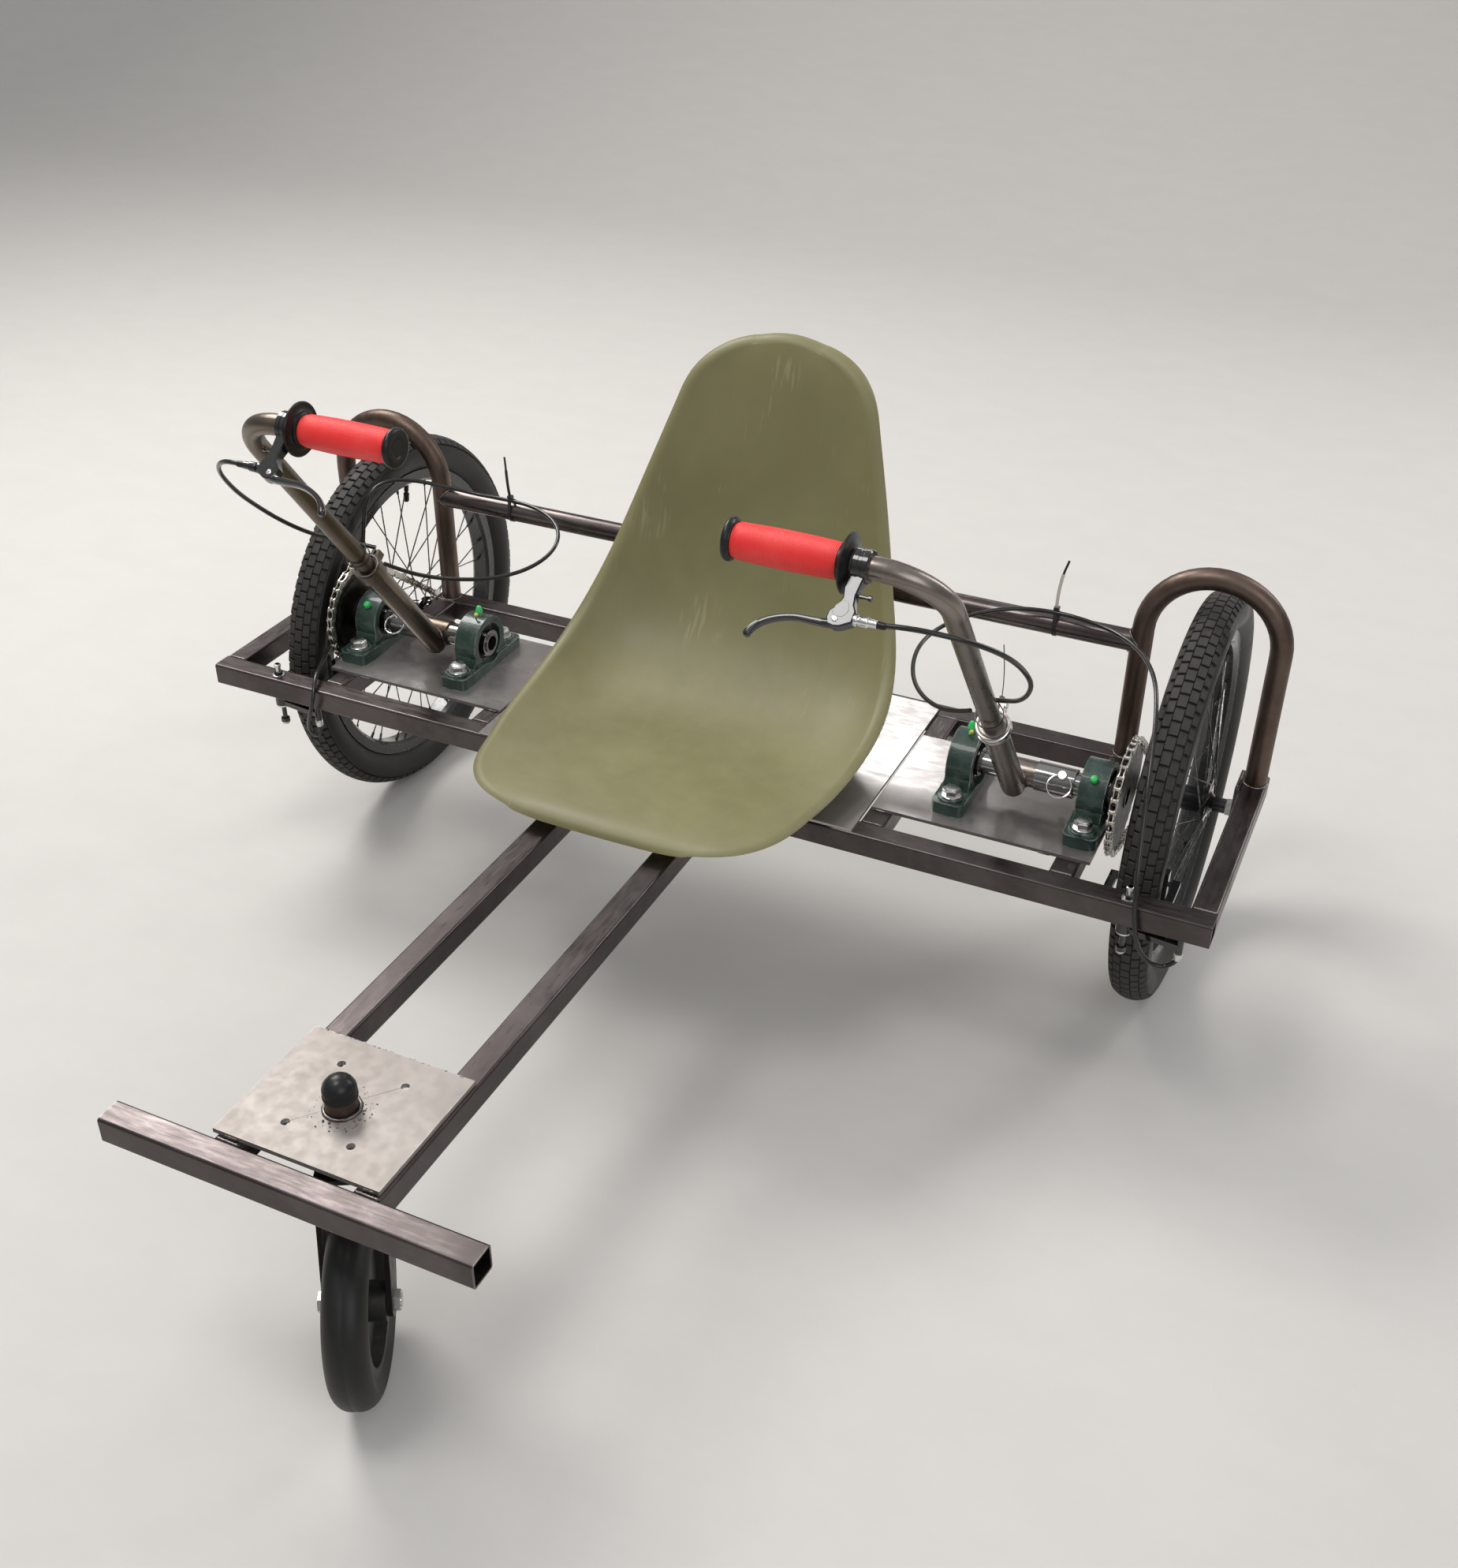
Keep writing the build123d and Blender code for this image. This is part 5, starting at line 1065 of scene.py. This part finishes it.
def makeGrip(side):
    look = gripLook
    centre = (0, -look["offset"], look["height"])
    inner, bore = look["inner"], look["bore"]
    span = look["outer"] - 5.0 - inner

    def bellied(x):
        share = (x - inner) / span * 2 - 1
        return look["radius"] + look["belly"] * (1 - share * share)

    body = newShape()
    stops = [inner + span * k / 24 for k in range(25)]
    outline = [(x, bellied(x) - (0.5 if k in (0, 24) else 0.0)) for k, x in enumerate(stops)]
    addTurned(body, [(inner, bore)] + outline + [(inner + span, bore)], centre, sideways, 56, loop=True)
    for angle in (radians(degree) for degree in look["seamAngles"]):
        seam = []
        for k in range(13):
            x = inner + 1 + (span - 2) * k / 12
            reach = bellied(x) + 0.05
            seam.append((x, centre[1] + reach * cos(angle), centre[2] + reach * sin(angle)))
        addTube(body, seam, roundSection(0.45, 6))
    buildOnLever(side, "RedGrip", body, ["redGrip"], ["grip"], 50)

    ends = newShape()
    rim, wide, outer = look["capRadius"], look["flangeRadius"], look["outer"]
    cap = [(1.2, 0.1), (1.2, 9.0), (0.2, 10.0), (0, 12.0), (0, rim - 3.2), (0.9, rim - 1.2), (2.6, rim - 0.1),
           (4.4, rim), (6.2, rim - 0.9), (7.0, rim - 2.6), (8.0, 17.4), (8.0, 11.3)]
    addTurned(ends, [(look["capInner"] + x, radius) for x, radius in cap], centre, sideways, 56)
    neck = [(-5.0, bore), (-5.0, 17.6), (-4.2, 18.6), (-1.0, 18.8), (-0.2, 20.5), (0.6, wide - 4.0),
            (0.4, wide - 1.4), (1.6, wide), (3.0, wide - 0.2)]
    flange = [(-2.2, wide - 3.0), (-1.6, 19.0), (0, 17.0), (0, bore)]
    outline = [(outer + x, radius) for x, radius in neck] + [(look["flangeOuter"] + x, r) for x, r in flange]
    addTurned(ends, outline, centre, sideways, 56, loop=True)
    buildOnLever(side, "GripEnds", ends, ["blackRubber"], ["grip_ends"], 40)


brakeLeverLook = {"clampX": 313.0, "clampWidth": 15.0, "clampRadius": 15.5, "thickness": 12.0,
                  "pivot": (306.0, 73.0), "adjusterOffset": 68.0, "adjusterStart": 321.0,
                  "adjusterEnd": 342.5, "adjusterPaint": {"left": 1, "right": 0}}
brakeBodyCorners = (
    # x and offset of the body's corners, from the clamp out to the pivot
    (305.8, 17), (305.2, 34), (304.2, 43), (306.4, 52), (304, 59), (298, 66), (297.6, 73),
    (300, 78.6), (306, 80), (312, 79), (318, 75.5), (321.6, 73.4), (322, 62.6), (318.6, 57),
    (317.2, 48), (318.6, 34), (320.2, 17),
)
brakeSlotCorners = ((301, 66.5), (303, 60), (308, 54), (313.5, 56), (316, 64), (312, 70),
                    (305, 70.5))
brakeBladeSections = (
    # x, offset, height and thickness of the blade's section
    (309, 75, 11, 8.6), (298, 76.6, 11.2, 7.6), (286, 77, 10.6, 6.6), (268, 77.5, 9.8, 5.8),
    (252, 82, 9.4, 5.6), (240, 89, 9, 5.8), (232.5, 98, 8.6, 6.6), (230.8, 104.6, 7.6, 7.2),
)


def addBlade(shape, height):
    middles = smoothPath([(row[0], row[1], 0) for row in brakeBladeSections], 5)
    sizes = smoothPath([(row[2], row[3], 0) for row in brakeBladeSections], 5)
    last = len(middles) - 1

    def oval(value):
        return abs(value) ** 0.75 * (1 if value >= 0 else -1)

    rings = []
    for k, (middle, size) in enumerate(zip(middles, sizes)):
        run = (middles[min(k + 1, last)] - middles[max(k - 1, 0)]).normalized()
        fade = 0.55 if k in (0, last) else 0.9 if k in (1, last - 1) else 1.0
        ring = []
        for angle in (2 * pi * j / 16 for j in range(16)):
            spot = middle + Vector((-run.y, run.x, 0)) * (oval(cos(angle)) * size.y / 2 * fade)
            ring.append((spot.x, -spot.y, height + oval(sin(angle)) * size.x / 2 * fade))
        rings.append(ring)
    addRings(shape, rings, 0, capStart=True, capEnd=True)


def makeBrakeLever(side):
    look = brakeLeverLook
    shape = newShape()
    height = gripLook["height"]
    half, outer, thick = look["clampWidth"] / 2, look["clampRadius"], look["thickness"] / 2
    clamp = [(-half, 11.25), (-half, outer - 1.0), (-half + 0.9, outer), (-2.0, outer), (-1.6, outer - 0.5),
             (1.6, outer - 0.5), (2.0, outer), (half - 0.9, outer), (half, outer - 1.0), (half, 11.25)]
    addTurned(shape, clamp, (look["clampX"], -gripLook["offset"], height), sideways, 48, loop=True)

    def toPoint(x, offset, rise):
        return Vector((x, -offset, height + rise))

    addPrism(shape, brakeBodyCorners, thick, toPoint, 1.3)
    addPrism(shape, brakeSlotCorners, thick + 0.25, toPoint, 0.3)
    addBlade(shape, height)
    for face in (1, -1):
        rivet = [(0, 2.9), (0.7, 2.8), (1.0, 2.2), (1.0, 1.2), (0.4, 1.1), (0.4, 0.1)]
        addTurned(shape, rivet, toPoint(*look["pivot"], face * (thick - 0.2)), (0, 0, face), 20, 1)
    spot, end = (0, -look["adjusterOffset"], height), look["adjusterEnd"]
    screw = [(0, 5.2), (0.5, 5.6), (3.0, 5.6), (3.5, 5.2), (3.5, 3.4), (5.0, 3.4), (5.0, 4.7), (5.6, 5.0),
             (13.0, 5.0), (13.6, 4.6), (14.0, 4.0)]
    screw = [(look["adjusterStart"] + x, radius) for x, radius in screw] + [(end - 0.5, 3.8), (end, 3.4)]
    addTurned(shape, screw, spot, sideways, 16, look["adjusterPaint"][side])
    addTurned(shape, [(end - 0.4, 3.5), (end + 7.5, 3.3), (end + 8, 2.9)], spot, sideways, 16, 2)
    addTurned(shape, [(0, 1.8), (9.0, 1.8), (9.4, 2.8), (12.0, 2.8)], (318.0, -46.0, height), sideways, 10)
    finishes = ["darkAlloy", "ringWire", "blackRubber"]
    buildOnLever(side, "GlossBrakeLever", shape, finishes, ["brake_lever"], 32)


ringLook = {"x": 440.0, "pinTop": 17.3, "pinBottom": -21.0, "ringRadius": 13.5, "wire": 0.72}


def makeSplitRing(side):
    look = ringLook
    shape = newShape()
    top, bottom = look["pinTop"], look["pinBottom"]
    pin = [(bottom, 3.2), (bottom + 0.6, 3.95), (top - 0.4, 3.95), (top, 5.5), (top + 4.2, 5.5),
           (top + 5.0, 4.6)]
    addTurned(shape, pin, (look["x"], 0, 0), upward, 24)
    centre = Vector((look["x"], -look["ringRadius"], top + 2.5))
    _, first, second = frameFor(upward)
    for lift in (-look["wire"], look["wire"]):
        path = circlePath(centre + Vector((0, 0, lift)), first, second, look["ringRadius"], 64)
        addTube(shape, path, roundSection(look["wire"], 8), 1, loop=True)
    addBall(shape, centre + Vector((9.5, -9.5, 0.0)), 1.7, 10, 1)
    buildOnLever(side, "SplitRing", shape, ["zincBolt", "ringWire"], ["coupler_pin"], 40)


collarLook = {"tubeX": 386.0, "tubeOffset": 17.0, "tubeRadius": 14.0, "couplerRadius": 15.5, "weldBead": 1.7,
              "tieTail": 62, "tailSide": "left", "bandSide": "left"}


def makeLeverFittings(side):
    look = collarLook
    shape = newShape()
    collar = levers[side]["collar"]
    tube = Vector((look["tubeX"], -look["tubeOffset"], 0.0))
    if side == look["bandSide"]:
        band = [(-15.5, 17.3), (-15.0, 18.4), (-12.0, 19.2), (-6.0, 19.2), (-3.0, 18.4), (-2.5, 17.3)]
        addTurned(shape, band, tube + Vector((0, 0, collar)), upward, 48, loop=True)
    for reach in (19.9, 25.4):
        addHex(shape, tube + Vector((5.0, reach, collar - 9)), sideways, 5.5, 2.6)
    lip = [(-2.6, 14.2), (-0.6, 15.6), (0.4, 15.0), (0.5, 14.05)]
    addTurned(shape, lip, tube + Vector((0, 0, collar + 1.5)), upward, 40, 2, loop=True)
    # The weld where the lever's tube meets the coupler: half above, then the same below
    path, radius = [], look["tubeRadius"]
    for angle in (radians(-84 + 168 * k / 24) for k in range(25)):
        offset = look["tubeOffset"] - radius * cos(angle)
        rise = sqrt(max(look["couplerRadius"] ** 2 - offset ** 2, 0.0))
        path.append((look["tubeX"] + radius * sin(angle), -offset, rise))
    path += [(x, y, -z) for x, y, z in reversed(path[1:-1])]
    addBead(shape, path, look["weldBead"], loop=True, paint=2)
    tieX, tieHeight, tieOffset = leverCablePoints[side][-2]
    loop = hullPath((tube.x, tube.y), 14.6, (tieX, -tieOffset), 3.2)
    addTube(shape, [(x, y, tieHeight) for x, y in loop], boxSection(0.5, 1.6), 1, loop=True)
    head = Vector((tieX + 9.0, -tieOffset + 3.5, tieHeight))
    addPrism(shape, boxSection(2.6, 2.2), 2.4, lambda u, v, w: head + Vector((u, w, v)), 0.5, 1)
    if side == look["tailSide"]:
        lean = Vector((0.0, 0.62, 0.785))
        tail = [head + lean * length + Vector((-drift, 0, 0))
                for length, drift in ((0, 0), (20, 0), (40, 1.0), (look["tieTail"], 3.5))]
        addTube(shape, smoothPath(tail), boxSection(0.3, 0.8), 1)
    buildOnLever(side, "LeverFittings", shape, ["ringWire", "tieNylon", "weldSteel"], (), 38)


for side in levers:
    makeGrip(side)
    makeBrakeLever(side)
    makeSplitRing(side)
    makeLeverFittings(side)
print("hand lever pieces made")

# Ties on the cross tube
tieLook = {"tubeRadius": 13.3, "cableRadius": 3.2, "bandWidth": 4.4, "bandThickness": 1.1}
crossTies = (
    # x, cable y and z there, tail points from the head, tail finish (1: pale nylon that paints a highlight on
    # the black tail)
    (374.0, (388.0, 460.0), ((0, -2, 6), (1, -3, 26), (4, -4, 46), (9, -5, 64)), 1),
    (-362.0, (389.0, 458.0), ((0, -2, 5), (-1, -3, 20), (-2, -3, 38), (-3, -3, 56)), 0),
)


def makeCrossTies():
    look = tieLook
    shape = newShape()
    for x, cable, tail, finish in crossTies:
        loop = hullPath((place["axleY"], place["crossTubeZ"]), look["tubeRadius"], cable, look["cableRadius"])
        band = boxSection(look["bandThickness"] / 2, look["bandWidth"] / 2)
        addTube(shape, [(x, y, z) for y, z in loop], band, 0, loop=True)
        head = Vector((x, cable[0] - 0.5, cable[1] + 5.0))
        addPrism(shape, boxSection(3.2, 3.0), 2.4, lambda u, v, w: head + Vector((u, v, w)), 0.7)
        path = smoothPath([head] + [head + Vector(p) for p in tail])
        split = len(path) - 7
        # The tail's first part takes its finish; with pale nylon this paints a highlight on the black tail
        addTube(shape, path[:split + 1], boxSection(0.5, 1.9), finish)
        addTube(shape, path[split:], boxSection(0.45, 1.33))
    buildPiece("crossTubeTies", shape, ["tieNylon", "paintedHighlightNylon"], "chassis")


makeCrossTies()
print("ties made")

# Weld beads and spatter of the frame
weldLook = {"frameBead": 1.7, "roundBead": 1.3, "stemBead": 2.2, "footBead": 1.5, "tackBead": 1.4,
            "plateBead": 2.0, "edgeBead": 1.6, "spatter": 60, "faceX": 13.3, "hoopRadius": 13.2,
            "crossRadius": 12.9, "stemRadius": 16.6}
tubeJoints = (
    # x of a member and y of the plane of its joint, on both sides
    (place["innerLongX"], 125.0), (place["outerLongX"], 125.0), (place["sideTubeX"], 125.0),
    (place["innerLongX"], 382.0), (place["outerLongX"], 382.0), (place["railX"], 97.0),
    (place["railX"], -580.0),
)


def addFrameWeld(shape, x, y):
    bead = weldLook["frameBead"]
    top, bottom = place["tubeTop"] - 0.4, place["tubeTop"] - place["tubeSize"] + 0.4
    for z in (top, bottom):
        addBead(shape, [(x - 12.0, y, z), (x + 12.0, y, z)], bead)
    for face in (1, -1):
        side = x + face * (weldLook["faceX"] - bead * 0.9)
        addBead(shape, [(side, y, top - 3), (side, y, bottom + 3)], bead * 0.9)


def addHoopWelds(shape, sign):
    look = weldLook
    middleY, outer, wide = place["axleY"], place["outerLongX"], look["crossRadius"]
    for x in (outer, place["sideTubeX"]):
        centre = Vector((sign * x, middleY, 291.4))
        addBead(shape, circlePath(centre, Vector(sideways), Vector((0, 1, 0)), look["hoopRadius"], 32),
                look["roundBead"], loop=True)
    saddle = []
    for angle in (2 * pi * k / 36 for k in range(36)):
        saddle.append((sign * (outer - 13.4 * abs(sin(angle)) - 0.6), middleY + wide * cos(angle),
                       place["crossTubeZ"] + wide * sin(angle)))
    addBead(shape, saddle, look["roundBead"] * 0.9, loop=True)
    for x in (490.5, 611.5):
        addBead(shape, [(sign * x, 377.0, 291.2), (sign * x, 415.0, 291.2)], look["footBead"])
    for x0, x1 in ((250.0, 262.0), (440.0, 454.0)):
        addBead(shape, [(sign * x1, 151.0, 291.6), (sign * x0, 151.0, 291.6)], look["tackBead"])


def makeWelds():
    look = weldLook
    shape = newShape()
    for x, y in tubeJoints:
        for sign in (1, -1):
            addFrameWeld(shape, sign * x, y)
    for sign in (1, -1):
        addHoopWelds(shape, sign)
    for x in (66.0, -80.0):
        for y in (-576.0, -426.0):
            addBead(shape, [(x, y, 292.4), (x + 15.0, y, 292.4)], look["plateBead"])
    for y in (-560.0, -480.0):
        addBead(shape, [(-92.0, y, 292.0), (-92.0, y + 24.0, 292.0)], look["edgeBead"])
    stem = Vector((place["stemX"], place["stemY"], place["casterPlateTop"]))
    ring = circlePath(stem + Vector((0, 0, 0.6)), Vector(sideways), Vector((0, 1, 0)), look["stemRadius"], 40)
    addBead(shape, ring, look["stemBead"], loop=True, ripple=1.8)
    for _ in range(look["spatter"]):
        angle, reach = random.uniform(0, 2 * pi), random.uniform(19.5, 31.0)
        size = random.uniform(0.35, 1.1) * (1.35 if reach < 24 else 0.8)
        addBall(shape, stem + Vector((reach * cos(angle), reach * sin(angle), size * 0.3)), size, 7)
    buildPiece("weldBeads", shape, ["weldSteel"], "chassis", smooth=60)


makeWelds()
print("welds made")

# Wheels: spoke nipples, valve stems and axle washers
wheelLook = {"spokes": 36, "circle": 22.0, "lacing": 60.0, "rimRadius": 187.7, "flangeX": 28.0,
             "rimOffset": 3.0, "nippleRadius": 1.9, "nippleLength": 9.0, "washerX": 46.0,
             "valveAngles": {"left": 312.0, "right": 8.0}}


def makeWheelFittings(side, sign):
    look = wheelLook
    shape = newShape()
    centre = Vector((sign * place["wheelX"], place["axleY"], place["axleZ"]))
    per = look["spokes"] // 2
    step = 2 * pi / per
    long = look["nippleLength"]
    nipple = [(-0.4, 2.7), (0.9, 2.3), (1.4, look["nippleRadius"]), (long - 0.6, 1.7), (long, 1.2)]

    def spokeEnd(x, radius, angle):
        return Vector((sign * x, radius * cos(angle), radius * sin(angle)))

    for flange in (1, -1):
        for k in range(per):
            hubAngle = k * step + (step / 2 if flange < 0 else 0)
            rimAngle = hubAngle + (1 if k % 2 == 0 else -1) * radians(look["lacing"])
            start = spokeEnd(flange * look["flangeX"], look["circle"], hubAngle)
            end = spokeEnd(flange * look["rimOffset"], look["rimRadius"], rimAngle)
            addTurned(shape, nipple, centre + end, (start - end).normalized(), 8)
    angle = radians(look["valveAngles"][side])
    out = Vector((0, sin(angle), cos(angle)))
    root = centre + out * 187.6
    valve = [(0, 5.4), (1.2, 5.2), (1.6, 3.5), (12.0, 3.3), (13.0, 2.6), (15.0, 2.6)]
    addTurned(shape, valve, root, -out, 16, 1)
    addTurned(shape, [(15.0, 3.7), (15.6, 4.0), (26.0, 3.7), (27.4, 2.6), (27.8, 0.5)], root, -out, 14, 1)
    for face in (1, -1):
        spot = centre + Vector((face * look["washerX"], 0, 0))
        addTurned(shape, [(0, 8.2), (face * 1.0, 8.6)], spot, sideways, 20)
    buildPiece(side + "WheelFittings", shape, ["spokeSteel", "blackRubber"], side + "_wheel")


for side, lever in levers.items():
    makeWheelFittings(side, lever["sign"])
print("wheel fittings made")

# Rim brakes: washers, domed nuts, barrels, springs and cable ends
brakeLook = {"tail": 61.0, "spread": 7.0, "studBottom": 219.0}


def makeBrakeFittings():
    look = brakeLook
    shape = newShape()
    stud = look["studBottom"]
    for middle in (place["wheelX"], -place["wheelX"]):
        spot = Vector((middle, place["frontTubeY"], 0))
        tail = spot + Vector((look["tail"], -look["spread"], 0))
        short = spot + Vector((look["tail"] * 0.7, look["spread"], 0))
        turnings = (
            # where, sides, outline as (height, radius)
            (spot, 24, [(291.0, 7.6), (292.2, 7.6), (292.4, 7.0)]),
            (spot, 18, [(295.6, 3.6), (303.0, 3.6), (303.6, 4.4), (306.0, 4.2), (307.0, 2.6)]),
            (spot, 24, [(246.8, 8.0), (249.0, 8.0)]),
            (spot, 18, [(stud - 0.5, 1.6), (stud + 0.5, 4.2), (stud + 3.6, 5.6), (stud + 4.0, 5.6)]),
            (tail, 18, [(235.0, 4.1), (236.0, 4.7), (243.0, 4.7), (244.0, 4.2)]),
            (tail, 18, [(263.0, 4.2), (265.5, 5.2), (266.4, 5.0)]),
        )
        for centre, sides, outline in turnings:
            addTurned(shape, outline, centre, upward, sides)
        addHex(shape, short + Vector((0, 0, 262.2)), upward, 8.0, 4.0)
        for face in (1, -1):
            spring = [spot + Vector((face * x, y, z)) for x, y, z in
                      ((4, 6, 247.5), (16, 14, 247.0), (28, 26, 247.5), (33, 44, 249.5))]
            addTube(shape, smoothPath(spring), roundSection(0.8, 6), 1)
        wire = [tail + Vector((0, 0, 262)), tail + Vector((-4, 3, 268)), short + Vector((4, -2, 268)),
                short + Vector((0, 0, 265))]
        addTube(shape, smoothPath(wire), roundSection(0.7, 6))
    buildPiece("brakeFittings", shape, ["zincBolt", "spokeSteel"], "chassis")


makeBrakeFittings()
print("rim brake fittings made")

# The rubber cap on the caster stem
capLook = {"radius": 15.9, "skirt": 15.5, "shoulder": 22.5, "top": 37.5, "lip": 0.3}


def makeCap():
    radius, skirt, shoulder, top, lip = capLook.values()
    outline = [(skirt, 15.1), (skirt, radius + lip), (skirt + 2.2, radius + lip), (skirt + 3.0, radius - 0.3),
               (shoulder, radius)]
    for angle in (pi / 2 * k / 12 for k in range(1, 13)):
        outline.append((shoulder + (top - shoulder) * sin(angle), max(radius * cos(angle), 0.05)))
    shape = newShape()
    addTurned(shape, outline, (place["stemX"], place["stemY"], place["casterPlateTop"]), upward, 48)
    buildPiece("roundCap", shape, ["blackRubber"], "chassis", ["stem_cap"], smooth=50)


makeCap()
print("stem cap made")

# Caster plate: a scribed line and the rough flame-cut edge
plateLook = {"lineFrom": (-39.0, -542.5), "lineTo": (31.0, -459.5), "lineWidth": 0.5, "lineLift": 0.06,
             "edgeFrom": -91.0, "edgeTo": 83.0, "edgeY": -426.4, "edgeZ": 294.6, "edgeStep": 2.2}


def makePlateMarks():
    look = plateLook
    shape = newShape()
    start, end = Vector(look["lineFrom"]), Vector(look["lineTo"])
    run = (end - start).normalized()
    aside = Vector((-run.y, run.x)) * look["lineWidth"] / 2
    corners = [start + aside, end + aside, end - aside, start - aside]
    addFaces(shape, [(c.x, c.y, place["casterPlateTop"] + look["lineLift"]) for c in corners], [(0, 1, 2, 3)])
    buildPiece("plateMarks", shape, ["spokeSteel"], "chassis")
    ragged = newShape()
    points, x = [], look["edgeFrom"]
    while x < look["edgeTo"]:
        y = look["edgeY"] + random.uniform(-0.5, 0.5)
        points.append((x, y, look["edgeZ"] + random.uniform(-0.7, 0.7)))
        x += look["edgeStep"] * random.uniform(0.7, 1.4)
    addTube(ragged, points, roundSection(1.3, 6))
    buildPiece("raggedEdge", ragged, ["weldSteel"], "chassis", smooth=60)


makePlateMarks()
print("caster plate marks made")

# Floor and light
floorLook = {"colour": (0.63, 0.615, 0.59), "size": 9.0, "wallDistance": 3.2, "bend": 1.2, "height": 4.0}


def makeFloor():
    look = floorLook
    half, wall, bend = look["size"], look["wallDistance"], look["bend"]
    tree, shader = newMaterial("paleFloor")
    specks = addNode(tree, "TexNoise", {"Scale": 160.0, "Detail": 6.0, "Roughness": 0.7}).outputs["Fac"]
    duller = tuple(c * 0.97 for c in look["colour"])
    feed(tree, shader, {"Base Color": mixColour(tree, spread(tree, specks, 0.3, 0.7), duller, look["colour"]),
                        "Roughness": 0.9})
    profile = [(-half, 0.0), (wall, 0.0)]
    for angle in (pi / 2 * k / 12 for k in range(1, 13)):
        profile.append((wall + bend * sin(angle), bend * (1 - cos(angle))))
    profile.append((wall + bend, look["height"]))
    points = [(x, y, z - 0.0005) for y, z in profile for x in (-half, half)]
    faces = [(2 * k, 2 * k + 1, 2 * k + 3, 2 * k + 2) for k in range(len(profile) - 1)]
    mesh = bpy.data.meshes.new("paleFloor")
    mesh.from_pydata(points, [], faces)
    mesh.shade_smooth()
    mesh.materials.append(materials["paleFloor"])
    floor = newObject("paleFloor", mesh)


lampSetup = {
    # place, aims at, width, height, power in watts, colour
    "keyLamp": ((-2.3, 1.2, 3.0), (0.0, 0.0, 0.3), 1.6, 1.2, 84, (1.0, 0.98, 0.95)),
    "topLamp": ((-0.57, -0.85, 3.1), (0.2, 0.0, 0.5), 0.9, 0.9, 24, (1.0, 0.99, 0.97)),
    "fillLamp": ((2.6, -2.2, 2.4), (0.0, 0.0, 0.3), 2.4, 1.8, 26, (0.98, 0.98, 1.0)),
    "plateLamp": ((-0.56, 2.69, 1.87), (0.24, 0.24, 0.3), 0.30, 0.32, 2.2, (1.0, 1.0, 1.0)),
    "edgeLamp": ((1.9, 2.5, 2.0), (0.0, 0.2, 0.3), 0.6, 2.0, 22, (1.0, 1.0, 1.0)),
}
skyLook = {"colour": (0.94, 0.94, 0.95, 1), "strength": (0.24, 0.66)}


def makeLamps():
    for name, (spot, aim, width, height, power, colour) in lampSetup.items():
        lamp = bpy.data.lights.new(name, "AREA")
        lamp.shape, lamp.size, lamp.size_y = "RECTANGLE", width, height
        lamp.energy, lamp.color = power, colour
        turn = (Vector(spot) - Vector(aim)).to_track_quat("Z", "Y").to_matrix().to_4x4()
        newObject(name, lamp).matrix_world = Matrix.Translation(spot) @ turn


def makeSky():
    world = bpy.data.worlds.new("softRoom")
    world.use_nodes = True
    tree = world.node_tree
    rise = addNode(tree, "SeparateXYZ", {0: addNode(tree, "TexCoord").outputs["Generated"]}).outputs["Z"]
    feed(tree, tree.nodes["Background"], {"Color": skyLook["colour"],
                                          "Strength": spread(tree, rise, 0.05, 0.95, *skyLook["strength"])})
    bpy.context.scene.world = world


makeFloor()
makeLamps()
makeSky()
bpy.context.scene.view_settings.view_transform = "Standard"
print("floor and lamps set")
